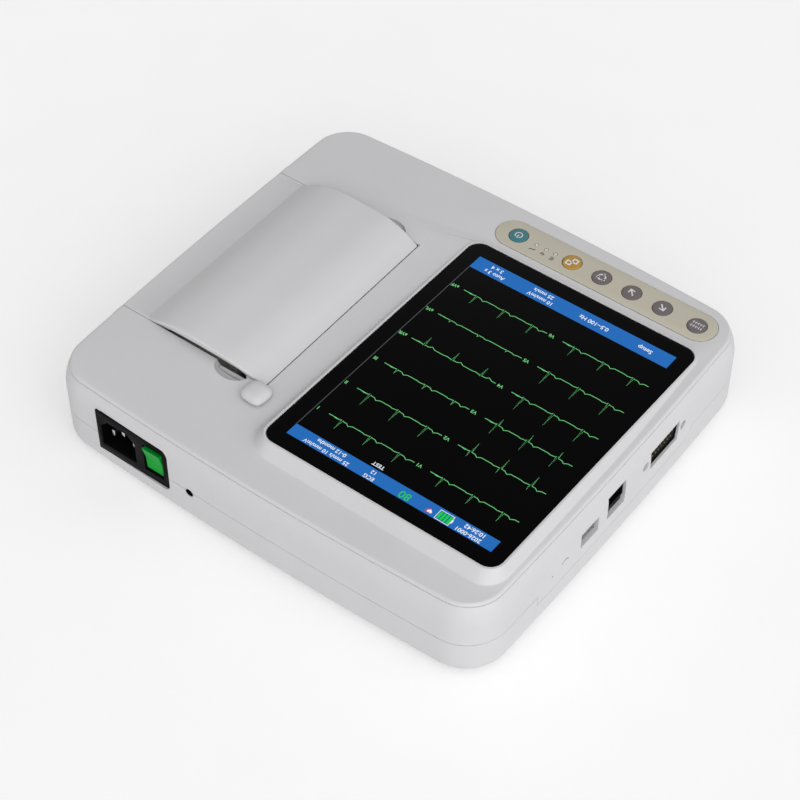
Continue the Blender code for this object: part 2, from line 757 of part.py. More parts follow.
def scoop_hollows():
    hollows = []
    for y in (DOOR_REAR_Y, DOOR_FRONT_Y):
        rings = scoop(y)
        raised = [(x, b, TOP_Z + OVERRUN) for x, b, _ in rings[0]]
        hollows.append(loft([raised, *rings]))
    return combine(*hollows)


def latch_parts():
    """The guide that holds the hook plate up, and the button's stem hole."""
    guide_low = LATCH_Z + LATCH_THICKNESS + GAP
    front = latch_nose_front()
    guide = block(
        (LATCH_LEFT_X, front, guide_low),
        (LATCH_BODY_X - LATCH_TRAVEL, front + 2 * LATCH_NOSE_WIDTH, TOP_Z - 0.5 * WALL),
    )
    hole = block(
        (stem_left() - GAP, BUTTON_Y - 0.5 * BUTTON_STEM_DEPTH - GAP, SEAM_Z + OVERRUN),
        (stem_left() + BUTTON_STEM_WIDTH + GAP, BUTTON_Y + 0.5 * BUTTON_STEM_DEPTH + GAP, TOP_Z + OVERRUN),
    )
    return guide, hole


def stem_left():
    return BUTTON_X - 0.5 * BUTTON_STEM_WIDTH


def cam_height():
    """The height of the stem's slanted foot, which drives the hook plate sideways."""
    return CAM_SHARE * BUTTON_STEM_WIDTH * BUTTON_TRAVEL / LATCH_TRAVEL


def boss(place, radius, low, high):
    x, y = place
    return rod("Z", x, y, radius, low, high, 12)


def upper_shell():
    shell = make("upper_shell", case_loft(upper_section()), WHITE_PLASTIC)
    cut(shell, "cavity", case_loft(upper_section(), WALL, -WALL))
    for number, shape in enumerate(parting_cut(0.0, SEAM_Z + 0.5 * GAP, 0.0)):
        cut(shell, f"parting_{number}", shape)
    join(shell, "platform", platform())
    join(shell, "lugs", hinge_lugs())
    join(shell, "bowls", scoop_bowls())
    guide, stem_hole = latch_parts()
    join(shell, "guide", guide)
    join(shell, "bosses", combine(*[
        boss(place, BOSS_RADIUS, SEAM_Z + GAP, TOP_Z - 0.5 * WALL) for place in SCREW_PLACES
    ]))
    join(shell, "board_posts", combine(*[
        boss((x, STRIP_Y), KEY_POST_RADIUS, key_board_top() + GAP, TOP_Z - 0.5 * WALL)
        for x in board_posts()
    ]))
    for number, shape in enumerate(glass_cuts()):
        cut(shell, f"glass_{number}", shape)
    cut(shell, "strip_recess", prism(strip_outline(GAP), "Z", TOP_Z - STRIP_THICKNESS, TOP_Z + OVERRUN))
    cut(shell, "keys", key_holes(TOP_Z - WALL - OVERRUN, TOP_Z + OVERRUN))
    cut(shell, "door", door_opening())
    cut(shell, "scoops", scoop_hollows())
    (_, rear), (front, _) = lug_places()
    cut(shell, "hinge_bores", rod("Y", HINGE_X, HINGE_Z, HINGE_PIN_RADIUS + GAP, front - GAP, rear + GAP))
    cut(shell, "stem_hole", stem_hole)
    cut(shell, "screw_holes", combine(*[
        boss(place, SCREW_RADIUS + GAP, SEAM_Z - OVERRUN, SCREW_TOP_Z + GAP) for place in SCREW_PLACES
    ]))
    cut(shell, "sockets", socket_holes())
    cut(shell, "inlet", inlet_hole())
    cut(shell, "earth", earth_hole())
    return shell


def lower_shell():
    shell = make("lower_shell", case_loft(lower_section()), WHITE_PLASTIC)
    cut(shell, "cavity", case_loft(lower_section(), WALL, WALL))
    for number, shape in enumerate(parting_cut(GAP, SEAM_Z - 0.5 * GAP, TOP_Z)):
        cut(shell, f"parting_{number}", shape)
    join(shell, "bosses", combine(*[
        boss(place, BOSS_RADIUS, BASE_Z + 0.5 * WALL, SEAM_Z - GAP) for place in SCREW_PLACES
    ]))
    join(shell, "board_posts", board_post_set())
    cut(shell, "screw_holes", combine(*[
        boss(place, SCREW_RADIUS + GAP, BASE_Z - OVERRUN, SEAM_Z + OVERRUN) for place in SCREW_PLACES
    ]))
    cut(shell, "screw_heads", combine(*[
        boss(place, SCREW_HEAD_RADIUS + GAP, BASE_Z - OVERRUN, screw_seat()) for place in SCREW_PLACES
    ]))
    cut(shell, "feet", combine(*[
        rod("Z", x, y, FOOT_RADIUS + GAP, BASE_Z - OVERRUN, BASE_Z + FOOT_RECESS) for x, y in foot_places()
    ]))
    cut(shell, "cover_recess", cover_shape(GAP, BASE_Z - OVERRUN, BASE_Z + COVER_THICKNESS + GAP))
    cut(shell, "battery_window", battery_shape(GAP, BASE_Z, BASE_Z + WALL + OVERRUN))
    cut(shell, "inlet", inlet_hole())
    cut(shell, "earth", earth_hole())
    return shell


def screw_seat():
    return BASE_Z + SCREW_HEAD_HEIGHT + GAP


def foot_places():
    return [(x, y) for x in (-FOOT_X, FOOT_X) for y in (-FOOT_Y, FOOT_Y)]


def cover_shape(grow, low, high):
    half = 0.5 * BATTERY_WIDTH + COVER_MARGIN + grow
    length = 0.5 * BATTERY_LENGTH + COVER_MARGIN + grow
    outline = rounded(
        BATTERY_X - half, BATTERY_X + half, BATTERY_Y - length, BATTERY_Y + length, COVER_MARGIN
    )
    return prism(outline, "Z", low, high)


def battery_shape(grow, low, high):
    half = 0.5 * BATTERY_WIDTH + grow
    length = 0.5 * BATTERY_LENGTH + grow
    return block((BATTERY_X - half, BATTERY_Y - length, low), (BATTERY_X + half, BATTERY_Y + length, high))


def main_board_box():
    left = SOCKET_FACE_X + 2 * WALL
    front = USB_Y - MAIN_BOARD_FRONT_SHARE * MAIN_BOARD_LENGTH
    return (
        (left, front, MAIN_BOARD_Z),
        (MAIN_BOARD_RIGHT_X, front + MAIN_BOARD_LENGTH, MAIN_BOARD_Z + BOARD_THICKNESS),
    )


def power_board_box():
    return (
        (POWER_BOARD_X - 0.5 * POWER_BOARD_WIDTH, POWER_BOARD_Y - 0.5 * POWER_BOARD_LENGTH, POWER_BOARD_Z),
        (
            POWER_BOARD_X + 0.5 * POWER_BOARD_WIDTH,
            POWER_BOARD_Y + 0.5 * POWER_BOARD_LENGTH,
            POWER_BOARD_Z + BOARD_THICKNESS,
        ),
    )


def board_post_set():
    """Posts of the lower shell under the main board and the power board."""
    posts = []
    base = BASE_Z + 0.5 * WALL
    for low, high in (main_board_box(), power_board_box()):
        inset = 2 * POST_RADIUS
        for x in (low[0] + inset, high[0] - inset):
            for y in (low[1] + inset, high[1] - inset):
                posts.append(rod("Z", x, y, POST_RADIUS, base, low[2] - GAP, 8))
    return combine(*posts)


def key_foot_z():
    """Where a key's stem ends, one travel above its switch."""
    return TOP_Z - WALL - GAP - KEY_FLANGE_THICKNESS - KEY_FOOT


def key_board_top():
    return key_foot_z() - KEY_TRAVEL - GAP - SWITCH_HEIGHT


def board_posts():
    """Where the upper shell's posts meet the key board: between keys, and past the last one."""
    places = [x for _, x in strip_places(KEY_SHARES)]
    end = STRIP_X + 0.5 * STRIP_LENGTH - KEY_POST_MARGIN
    return 0.5 * (places[1] + places[2]), 0.5 * (places[4] + places[5]), end


def keys():
    for name, x in strip_places(KEY_SHARES):
        bottom = TOP_Z - WALL - GAP
        top = TOP_Z + KEY_RISE
        profile = (
            (key_foot_z(), KEY_FOOT_RADIUS),
            (bottom - KEY_FLANGE_THICKNESS, KEY_FOOT_RADIUS),
            (bottom - KEY_FLANGE_THICKNESS, KEY_RADIUS + KEY_FLANGE),
            (bottom, KEY_RADIUS + KEY_FLANGE),
            (bottom, KEY_RADIUS),
            (top - KEY_CROWN, KEY_RADIUS),
            (top, KEY_RADIUS - KEY_CROWN),
        )
        local = [(z - TOP_Z, radius) for z, radius in profile]
        key = make(name, turned("Z", 0.0, 0.0, local, KEY_STEPS), (KEY_COLOURS[name], 0.45, 0.0))
        key.location = (x, STRIP_Y, TOP_Z)


def key_strip():
    low = TOP_Z - STRIP_THICKNESS + GAP
    strip = make("key_strip", prism(strip_outline(), "Z", low, low + STRIP_THICKNESS), STRIP_COLOUR)
    cut(strip, "keys", key_holes(TOP_Z - WALL - OVERRUN, TOP_Z + OVERRUN))


def key_board():
    top = key_board_top()
    half = 0.5 * (STRIP_LENGTH - KEY_FLANGE)
    width = 0.5 * KEY_BOARD_WIDTH
    board = make(
        "key_board",
        block(
            (STRIP_X - half, STRIP_Y - width, top - BOARD_THICKNESS),
            (STRIP_X + half, STRIP_Y + width, top),
        ),
        BOARD,
    )
    join(board, "switches", combine(*[
        rod("Z", x, STRIP_Y, SWITCH_RADIUS, top - 0.5 * BOARD_THICKNESS, top + SWITCH_HEIGHT, 10)
        for _, x in strip_places(KEY_SHARES)
    ]))


def lamps():
    for name, x in strip_places(LAMP_SHARES):
        top = TOP_Z + STRIP_THICKNESS * 0.5 + LAMP_RISE
        make(name, rod("Z", x, STRIP_Y, LAMP_RADIUS, key_board_top() + GAP, top, 8), PAPER)


def screen():
    glass = tilted(GLASS_WIDTH, GLASS_LENGTH, GLASS_CORNER, 0.0, GLASS_THICKNESS)
    make("screen_glass", glass, DARK_GLASS)
    top = GLASS_THICKNESS + GAP
    make("lcd_panel", tilted(LCD_WIDTH, LCD_LENGTH, GAP, top, top + LCD_THICKNESS), GREY_PLASTIC)
    plate_top = top + LCD_THICKNESS + GAP
    width = LCD_WIDTH + 2 * BRACKET_MARGIN
    length = LCD_LENGTH + 2 * BRACKET_MARGIN
    bracket = make(
        "lcd_bracket", tilted(width, length, GAP, plate_top, plate_top + BRACKET_THICKNESS), STEEL
    )
    front = GLASS_Y - 0.5 * length * math.cos(GLASS_TILT)
    plate_z = glass_height(front) - plate_top - 0.5 * BRACKET_THICKNESS
    half = 0.5 * LCD_WIDTH
    join(bracket, "rail", block(
        (GLASS_X - half, front + GAP, plate_z),
        (GLASS_X + half, front + GAP + BRACKET_RAIL, TOP_Z - WALL - GAP),
    ))


def hump_point(share, rise, inset):
    """A point of the door's hump, with its end's y, from a share of its length and rise."""
    x = DOOR_SLOT_X + GAP + (HUMP_END_X - DOOR_SLOT_X - GAP) * share
    return x, TOP_Z + HUMP_HEIGHT * rise - inset


def hump(inset, base_z, overhang):
    """The hump's solid, pulled in by a wall and standing on a base height."""
    curve = [hump_point(share, rise, inset) for share, rise in HUMP_SHARES]
    left = DOOR_SLOT_X + GAP + inset
    right = HUMP_END_X - inset
    outline = [(left, base_z)] + [
        (min(max(x, left), right), max(z, base_z + GAP)) for x, z in curve
    ] + [(right, base_z)]
    rings = []
    for end, out in ((DOOR_FRONT_Y + GAP + inset, -1.0), (DOOR_REAR_Y - GAP - inset, 1.0)):
        rings.append([
            (x, end + out * overhang * (z - TOP_Z) / HUMP_HEIGHT, z)
            for x, z in outline
        ])
    return loft(rings)


def knuckle_places():
    return (
        (DOOR_REAR_Y - KNUCKLE_INSET - KNUCKLE_LENGTH, DOOR_REAR_Y - KNUCKLE_INSET),
        (DOOR_FRONT_Y + KNUCKLE_INSET, DOOR_FRONT_Y + KNUCKLE_INSET + KNUCKLE_LENGTH),
    )


def ear_boxes():
    """The door's end blocks that carry the roller; the rear one also takes the hook."""
    high = TOP_Z - GAP
    rear = DOOR_REAR_Y - GAP
    front = DOOR_FRONT_Y + GAP
    return combine(
        block((EAR_LEFT_X, rear - LATCH_EAR_THICKNESS, EAR_BASE_Z), (EAR_RIGHT_X, rear, high)),
        block((EAR_LEFT_X, front, EAR_BASE_Z), (EAR_RIGHT_X, front + EAR_THICKNESS, high)),
    )


def end_relief():
    """A shallow crescent under the hump's rear end, so that the end stands clear of the top plate."""
    low, high = (DOOR_SLOT_X + share * (HUMP_END_X - DOOR_SLOT_X) for share in END_RELIEF_SHARES)
    outline = [(high, TOP_Z - GAP), (low, TOP_Z - GAP)]
    for step in range(SMALL_STEPS + 1):
        share = step / SMALL_STEPS
        rise = END_RELIEF_HEIGHT * math.sin(math.pi * share)
        outline.append((low + (high - low) * share, TOP_Z + rise))
    start = DOOR_REAR_Y - GAP - END_RELIEF_DEPTH
    return prism(outline, "Y", start, DOOR_REAR_Y + OVERRUN)


def printer_door():
    base = TOP_Z - DOOR_WALL
    door = make("printer_door", hump(0.0, base, HUMP_OVERHANG), WHITE_PLASTIC)
    cut(door, "inside", hump(DOOR_WALL, base - OVERRUN, 0.0))
    strip = make("printer_door_strip", case_loft(upper_section()))
    keep(strip, "reach", block(
        (HUMP_END_X - 2 * DOOR_WALL, DOOR_FRONT_Y + GAP, HINGE_Z),
        (BODY_HALF_X + 2 * OVERRUN, DOOR_REAR_Y - GAP, TOP_Z + OVERRUN),
    ))
    cut(strip, "inside", case_loft(upper_section(), DOOR_WALL, -DOOR_WALL))
    union = door.modifiers.new("strip", "BOOLEAN")
    union.operation = "UNION"
    union.object = strip
    join(door, "knuckles", combine(*[
        rod("Y", HINGE_X, HINGE_Z, KNUCKLE_RADIUS, start, end) for start, end in knuckle_places()
    ]))
    join(door, "ears", ear_boxes())
    cut(door, "hinge_bore", rod(
        "Y", HINGE_X, HINGE_Z, HINGE_PIN_RADIUS + GAP, DOOR_FRONT_Y - OVERRUN, DOOR_REAR_Y + OVERRUN
    ))
    bore = ROLLER_SHAFT_RADIUS + GAP
    cut(door, "shaft_bore", rod(
        "Y", ROLLER_X, ROLLER_Z, bore, DOOR_FRONT_Y - OVERRUN, DOOR_REAR_Y - 0.5 * DOOR_WALL
    ))
    cut(door, "end_relief", end_relief())
    cut(door, "hook_notch", block(
        (EAR_LEFT_X - OVERRUN, latch_nose_front() - GAP, LATCH_Z - GAP),
        (LATCH_NOSE_X + GAP, latch_nose_front() + LATCH_NOSE_WIDTH + GAP, LATCH_Z + LATCH_THICKNESS + GAP),
    ))
    return door


def latch_nose_front():
    return DOOR_REAR_Y - GAP - LATCH_EAR_THICKNESS + GAP * 3


def hinge_pin():
    (_, rear), (front, _) = lug_places()
    make("hinge_pin", rod("Y", HINGE_X, HINGE_Z, HINGE_PIN_RADIUS, front, rear), STEEL)


def gear(teeth, start, end, phase):
    """A spur gear about the Y axis, first tooth at the phase angle."""
    radius = 0.5 * teeth * GEAR_MODULE
    tip = radius + TOOTH_TIP_SHARE * GEAR_MODULE
    root = radius - TOOTH_ROOT_SHARE * GEAR_MODULE
    pitch = math.tau / teeth
    tooth_points = (
        (-TOOTH_FOOT_SHARE, root),
        (-TOOTH_FACE_SHARE, tip),
        (TOOTH_FACE_SHARE, tip),
        (TOOTH_FOOT_SHARE, root),
    )
    outline = []
    for tooth in range(teeth):
        middle = phase + tooth * pitch
        for turn, reach in tooth_points:
            angle = middle + turn * pitch
            outline.append((reach * math.cos(angle), reach * math.sin(angle)))
    return prism(outline, "Y", start, end)


def gear_plane():
    front = DOOR_FRONT_Y + GAP + EAR_THICKNESS + GAP
    return front, front + GEAR_WIDTH


def idler_place():
    reach = 0.5 * GEAR_MODULE * (ROLLER_TEETH + IDLER_TEETH)
    drop = math.sqrt(reach * reach - IDLER_SIDE * IDLER_SIDE)
    return ROLLER_X + IDLER_SIDE, ROLLER_Z - drop


def idler_angle():
    x, z = idler_place()
    return math.atan2(z - ROLLER_Z, x - ROLLER_X)


def pinion_angle():
    return idler_angle() + math.pi - PINION_STEPS * math.tau / IDLER_TEETH


def pinion_place():
    reach = 0.5 * GEAR_MODULE * (IDLER_TEETH + PINION_TEETH)
    x, z = idler_place()
    return x + reach * math.cos(pinion_angle()), z + reach * math.sin(pinion_angle())


def roller():
    front, rear = gear_plane()
    roller_front = rear + GAP * 2
    roller_rear = DOOR_REAR_Y - GAP - LATCH_EAR_THICKNESS - GAP
    item = make("platen_roller", rod(
        "Y", 0.0, 0.0, ROLLER_RADIUS, roller_front, roller_rear, 24
    ), RUBBER)
    item.location = (ROLLER_X, 0.0, ROLLER_Z)
    bore = ROLLER_SHAFT_RADIUS + PRESS_GAP
    cut(item, "bore", rod("Y", ROLLER_X, ROLLER_Z, bore, roller_front - OVERRUN, roller_rear + OVERRUN))
    shaft = make("platen_shaft", rod(
        "Y", 0.0, 0.0, ROLLER_SHAFT_RADIUS - GAP * 0.5, DOOR_FRONT_Y + GAP * 2, DOOR_REAR_Y - DOOR_WALL
    ), STEEL)
    shaft.location = (ROLLER_X, 0.0, ROLLER_Z)
    wheel = make("platen_gear", gear(
        ROLLER_TEETH, front, rear, idler_angle() + math.pi / ROLLER_TEETH
    ), WHITE_PLASTIC)
    wheel.location = (ROLLER_X, 0.0, ROLLER_Z)
    cut(wheel, "bore", rod("Y", ROLLER_X, ROLLER_Z, bore, front - OVERRUN, rear + OVERRUN))


def gear_train():
    front, rear = gear_plane()
    x, z = idler_place()
    wheel = make("idler_gear", gear(IDLER_TEETH, front, rear, idler_angle() + math.pi), WHITE_PLASTIC)
    wheel.location = (x, 0.0, z)
    cut(wheel, "bore", rod("Y", x, z, IDLER_AXLE_RADIUS + GAP, front - OVERRUN, rear + OVERRUN))
    make("idler_axle", rod("Y", x, z, IDLER_AXLE_RADIUS, tub_front(), rear + GAP), STEEL)
    x, z = pinion_place()
    phase = pinion_angle() + math.pi + math.pi / PINION_TEETH
    pinion = make("motor_pinion", gear(PINION_TEETH, front, rear, phase), BRASS)
    pinion.location = (x, 0.0, z)
    cut(pinion, "bore", rod("Y", x, z, PINION_SHAFT_RADIUS + GAP, front - OVERRUN, rear + OVERRUN))
    motor_face = tub_front() - GAP
    profile = (
        (motor_face - MOTOR_LENGTH, MOTOR_RADIUS),
        (motor_face, MOTOR_RADIUS),
        (motor_face, PINION_SHAFT_RADIUS),
        (rear, PINION_SHAFT_RADIUS),
    )
    make("feed_motor", turned("Y", x, z, profile, 20), STEEL)


def tub_front():
    return DOOR_FRONT_Y - TUB_WALL


def tub_rear():
    return DOOR_REAR_Y + TUB_WALL


def paper_tub():
    rim = TOP_Z - WALL - GAP
    tub = make("paper_tub", block(
        (TUB_LEFT_X, tub_front(), TUB_BASE_Z), (TUB_RIGHT_X, tub_rear(), rim)
    ), WHITE_PLASTIC)
    cut(tub, "inside", block(
        (TUB_LEFT_X + TUB_WALL, DOOR_FRONT_Y, TUB_BASE_Z + TUB_FLOOR),
        (TUB_RIGHT_X - TUB_WALL, DOOR_REAR_Y, rim + OVERRUN),
    ))
    x, z = pinion_place()
    cut(tub, "motor_shaft", rod(
        "Y", x, z, PINION_SHAFT_RADIUS + GAP, tub_front() - OVERRUN, DOOR_FRONT_Y + OVERRUN
    ))
    x, z = idler_place()
    cut(tub, "idler_axle", rod(
        "Y", x, z, IDLER_AXLE_RADIUS + PRESS_GAP, tub_front() - OVERRUN, DOOR_FRONT_Y + OVERRUN
    ))
    cut(tub, "hook", block(
        (TUB_LEFT_X - OVERRUN, latch_nose_front() - GAP, LATCH_Z - GAP),
        (TUB_LEFT_X + TUB_WALL + GAP, latch_nose_front() + LATCH_NOSE_WIDTH + GAP, rim + OVERRUN),
    ))
    journal = JOURNAL_RADIUS + GAP
    low = TUB_BASE_Z + 0.5 * TUB_FLOOR
    join(tub, "cradles", combine(*[
        block((ROLL_X - 3 * journal, start, low), (ROLL_X + 3 * journal, end, ROLL_Z + JOURNAL_RADIUS))
        for start, end in cradle_places()
    ]))
    cut(tub, "journals", combine(*[
        prism(journal_outline(journal), "Y", start, end) for start, end in journal_places()
    ]))


def journal_outline(radius):
    """A slot that is open upwards and round at its foot, for the spindle's end."""
    high = ROLL_Z + JOURNAL_RADIUS + OVERRUN
    outline = [(ROLL_X + radius, high), (ROLL_X - radius, high)]
    for step in range(JOURNAL_STEPS + 1):
        angle = math.pi + math.pi * step / JOURNAL_STEPS
        outline.append((ROLL_X + radius * math.cos(angle), ROLL_Z + radius * math.sin(angle)))
    return outline


def cradle_places():
    """The y extents of the two blocks that carry the spindle's ends."""
    half = 0.5 * ROLL_LENGTH + 2 * GAP + 0.5 * TUB_FLOOR
    middle = roll_middle()
    return (
        (DOOR_FRONT_Y - 0.5 * TUB_WALL, middle - half),
        (middle + half, DOOR_REAR_Y + 0.5 * TUB_WALL),
    )


def journal_places():
    (_, front_end), (rear_start, _) = cradle_places()
    return (
        (DOOR_FRONT_Y + GAP, front_end + 0.5 * OVERRUN),
        (rear_start - 0.5 * OVERRUN, DOOR_REAR_Y - GAP),
    )


def roll_middle():
    return 0.5 * (DOOR_REAR_Y + DOOR_FRONT_Y)


def paper():
    half = 0.5 * ROLL_LENGTH
    middle = roll_middle()
    roll = make("paper_roll", rod(
        "Y", 0.0, 0.0, ROLL_RADIUS, middle - half, middle + half, ROUND_STEPS
    ), PAPER)
    roll.location = (ROLL_X, 0.0, ROLL_Z)
    cut(roll, "bore", rod(
        "Y", ROLL_X, ROLL_Z, SPINDLE_RADIUS + GAP * 0.5, middle - half - OVERRUN, middle + half + OVERRUN
    ))
    profile = (
        (DOOR_FRONT_Y + 2 * GAP, JOURNAL_RADIUS),
        (middle - half, JOURNAL_RADIUS),
        (middle - half, SPINDLE_RADIUS),
        (middle + half, SPINDLE_RADIUS),
        (middle + half, JOURNAL_RADIUS),
        (DOOR_REAR_Y - 2 * GAP, JOURNAL_RADIUS),
    )
    spindle = make("paper_spindle", turned("Y", 0.0, 0.0, profile), GREY_PLASTIC)
    spindle.location = (ROLL_X, 0.0, ROLL_Z)


def print_head():
    _, rear = gear_plane()
    start = rear + GAP * 4
    end = DOOR_REAR_Y - GAP - LATCH_EAR_THICKNESS - GAP
    top = ROLLER_Z - ROLLER_RADIUS - GAP
    left = ROLLER_X - 0.5 * HEAD_WIDTH
    right = ROLLER_X + 0.5 * HEAD_WIDTH
    make("print_head", block((left, start, top - HEAD_HEIGHT), (right, end, top)), GREY_PLASTIC)
    plate_top = top - HEAD_HEIGHT - GAP
    bracket = make("head_bracket", block(
        (left, start, plate_top - HEAD_BRACKET), (right, end, plate_top)
    ), STEEL)
    join(bracket, "web", block(
        (left + GAP, start + GAP, TUB_BASE_Z + TUB_FLOOR + GAP),
        (left + HEAD_BRACKET, end - GAP, plate_top - 0.5 * HEAD_BRACKET),
    ))


def rounded_part(value):
    """A cosine or sine made fuller, so that an ellipse of such parts turns squarer."""
    return math.copysign(abs(value) ** BUTTON_SQUARE_SHARE, value)


def button_ring(size, z):
    """One outline of the button's dome, shrunk by a share of its full size."""
    ring = []
    for i in range(ROUND_STEPS):
        angle = i * math.tau / ROUND_STEPS
        a = BUTTON_HALF_LENGTH * size * rounded_part(math.cos(angle))
        b = BUTTON_HALF_WIDTH * size * rounded_part(math.sin(angle))
        ring.append((
            BUTTON_X + a * math.cos(BUTTON_TURN) - b * math.sin(BUTTON_TURN),
            BUTTON_Y + a * math.sin(BUTTON_TURN) + b * math.cos(BUTTON_TURN),
            z,
        ))
    return ring


def latch():
    left = stem_left()
    right = left + BUTTON_STEM_WIDTH
    half = 0.5 * BUTTON_STEM_DEPTH
    stem = [
        (left, BUTTON_FOOT_Z + cam_height()),
        (left + CAM_SHARE * BUTTON_STEM_WIDTH, BUTTON_FOOT_Z),
        (right, BUTTON_FOOT_Z),
        (right, TOP_Z + BUTTON_TRAVEL + GAP * 2),
        (left, TOP_Z + BUTTON_TRAVEL + GAP * 2),
    ]
    base = TOP_Z + BUTTON_TRAVEL + GAP
    rings = []
    for share in BUTTON_RING_SHARES:
        size = math.sqrt(max(1.0 - share ** BUTTON_DOME_SHARE, BUTTON_TIP_SHARE))
        rings.append(button_ring(size, base + BUTTON_RISE * share))
    button = make("latch_button", loft(rings), WHITE_PLASTIC)
    join(button, "stem", prism(stem, "Y", BUTTON_Y - half, BUTTON_Y + half))
    front = latch_nose_front()
    rear = front + LATCH_NOSE_WIDTH
    arm_front = tub_rear() + GAP
    free = 1.0 - (LATCH_Z + LATCH_THICKNESS - BUTTON_FOOT_Z) / cam_height()
    edge = left + CAM_SHARE * BUTTON_STEM_WIDTH * free - 2 * GAP
    outline = [
        (LATCH_LEFT_X, front),
        (LATCH_NOSE_X, front),
        (LATCH_NOSE_X, rear),
        (LATCH_BODY_X, rear),
        (LATCH_BODY_X, arm_front),
        (edge, arm_front),
        (edge, LATCH_REACH_Y),
        (LATCH_LEFT_X, LATCH_REACH_Y),
    ]
    make("latch_hook", prism(outline, "Z", LATCH_Z, LATCH_Z + LATCH_THICKNESS), STEEL)


def inlet_hole():
    """The mains module's opening through the rear wall."""
    outline = rounded(
        INLET_LEFT_X - GAP, INLET_RIGHT_X + GAP, INLET_BASE_Z - GAP, INLET_TOP_Z + GAP, GAP
    )
    return prism(outline, "Y", INLET_FACE_Y - INLET_DEPTH, INLET_FACE_Y + 2 * OVERRUN)


def earth_hole():
    start = EARTH_FACE_Y - EARTH_LENGTH
    return rod("Y", EARTH_X, EARTH_Z, EARTH_HOLE_RADIUS, start, EARTH_FACE_Y + OVERRUN)


def socket_middle_z():
    return 0.5 * (INLET_BASE_Z + INLET_TOP_Z)


def socket_outline():
    """The mains socket's mouth, its two upper corners cut off."""
    half = 0.5 * SOCKET_WIDTH
    low = socket_middle_z() - 0.5 * SOCKET_HEIGHT
    high = socket_middle_z() + 0.5 * SOCKET_HEIGHT
    return [
        (SOCKET_X - half, low),
        (SOCKET_X + half, low),
        (SOCKET_X + half, high - SOCKET_CHAMFER),
        (SOCKET_X + half - SOCKET_CHAMFER, high),
        (SOCKET_X - half + SOCKET_CHAMFER, high),
        (SOCKET_X - half, high - SOCKET_CHAMFER),
    ]


def mains_pins():
    """The pins' names and places; the earth pin stands above the other two."""
    z = socket_middle_z()
    return (
        ("pin_line", SOCKET_X - 0.5 * PIN_SPACING, z - 0.5 * PIN_RAISE),
        ("pin_neutral", SOCKET_X + 0.5 * PIN_SPACING, z - 0.5 * PIN_RAISE),
        ("pin_earth", SOCKET_X, z + 0.5 * PIN_RAISE),
    )


def mains_module():
    body = make("mains_inlet", block(
        (INLET_LEFT_X, INLET_FACE_Y - INLET_DEPTH, INLET_BASE_Z),
        (INLET_RIGHT_X, INLET_FACE_Y, INLET_TOP_Z),
    ), BLACK_PLASTIC)
    floor = INLET_FACE_Y - SOCKET_DEPTH
    cut(body, "socket", prism(socket_outline(), "Y", floor, INLET_FACE_Y + OVERRUN))
    half = 0.5 * ROCKER_HEIGHT
    z = socket_middle_z()
    cut(body, "rocker_well", block(
        (ROCKER_LEFT_X - 2 * GAP, INLET_FACE_Y - ROCKER_DEPTH - 2 * GAP, z - half - 2 * GAP),
        (ROCKER_RIGHT_X + 2 * GAP, INLET_FACE_Y + OVERRUN, z + half + 2 * GAP),
    ))
    thick = 0.5 * PIN_THICKNESS + PRESS_GAP
    wide = 0.5 * PIN_WIDTH + PRESS_GAP
    cut(body, "pin_seats", combine(*[
        block((x - thick, floor - PIN_THICKNESS, pin_z - wide), (x + thick, floor + OVERRUN, pin_z + wide))
        for _, x, pin_z in mains_pins()
    ]))
    for name, x, pin_z in mains_pins():
        make(name, block(
            (x - 0.5 * PIN_THICKNESS, floor - PIN_THICKNESS + GAP, pin_z - 0.5 * PIN_WIDTH),
            (x + 0.5 * PIN_THICKNESS, floor - PIN_THICKNESS + GAP + PIN_LENGTH, pin_z + 0.5 * PIN_WIDTH),
        ), STEEL)


def rocker():
    """The mains rocker, tilted so that its lower end is pressed in."""
    half = 0.5 * ROCKER_HEIGHT - GAP
    depth = 0.5 * ROCKER_DEPTH
    shoulder = ROCKER_SHOULDER_SHARE * depth
    flat = [
        (-depth, -0.5 * half),
        (-depth, 0.5 * half),
        (-shoulder, half),
        (ROCKER_RISE, half),
        (ROCKER_RISE - ROCKER_DISH, 0.0),
        (ROCKER_RISE, -half),
        (-shoulder, -half),
    ]
    cosine = math.cos(ROCKER_SWING)
    sine = math.sin(ROCKER_SWING)
    outline = [(y * cosine + z * sine, z * cosine - y * sine) for y, z in flat]
    item = make("rocker_switch", prism(outline, "X", ROCKER_LEFT_X, ROCKER_RIGHT_X), GREEN_PLASTIC)
    item.location = (0.0, INLET_FACE_Y, socket_middle_z())


def earth_terminal():
    collar = EARTH_FACE_Y - EARTH_COLLAR_LENGTH
    profile = (
        (EARTH_FACE_Y - EARTH_LENGTH, EARTH_COLLAR_RADIUS),
        (collar - EARTH_COLLAR_LENGTH, EARTH_COLLAR_RADIUS),
        (collar - EARTH_COLLAR_LENGTH, EARTH_STUD_RADIUS),
        (collar, EARTH_STUD_RADIUS),
        (collar, EARTH_COLLAR_RADIUS),
        (EARTH_FACE_Y - GAP * 2, EARTH_COLLAR_RADIUS),
        (EARTH_FACE_Y - GAP * 2, EARTH_STUD_RADIUS),
        (collar + GAP, EARTH_BORE_SHARE * EARTH_STUD_RADIUS),
    )
    make("earth_terminal", turned("Y", EARTH_X, EARTH_Z, profile), BRASS)


def ecg_outline(grow=0.0):
    """The patient connector's slanted mouth, in (y, z), wider at its top."""
    half = 0.5 * ECG_WIDTH + grow
    tall = 0.5 * ECG_HEIGHT + grow
    narrow = half * (1.0 - ECG_SLANT_SHARE)
    return [
        (ECG_Y - narrow, ECG_Z - tall),
        (ECG_Y + narrow, ECG_Z - tall),
        (ECG_Y + half, ECG_Z + tall),
        (ECG_Y - half, ECG_Z + tall),
    ]


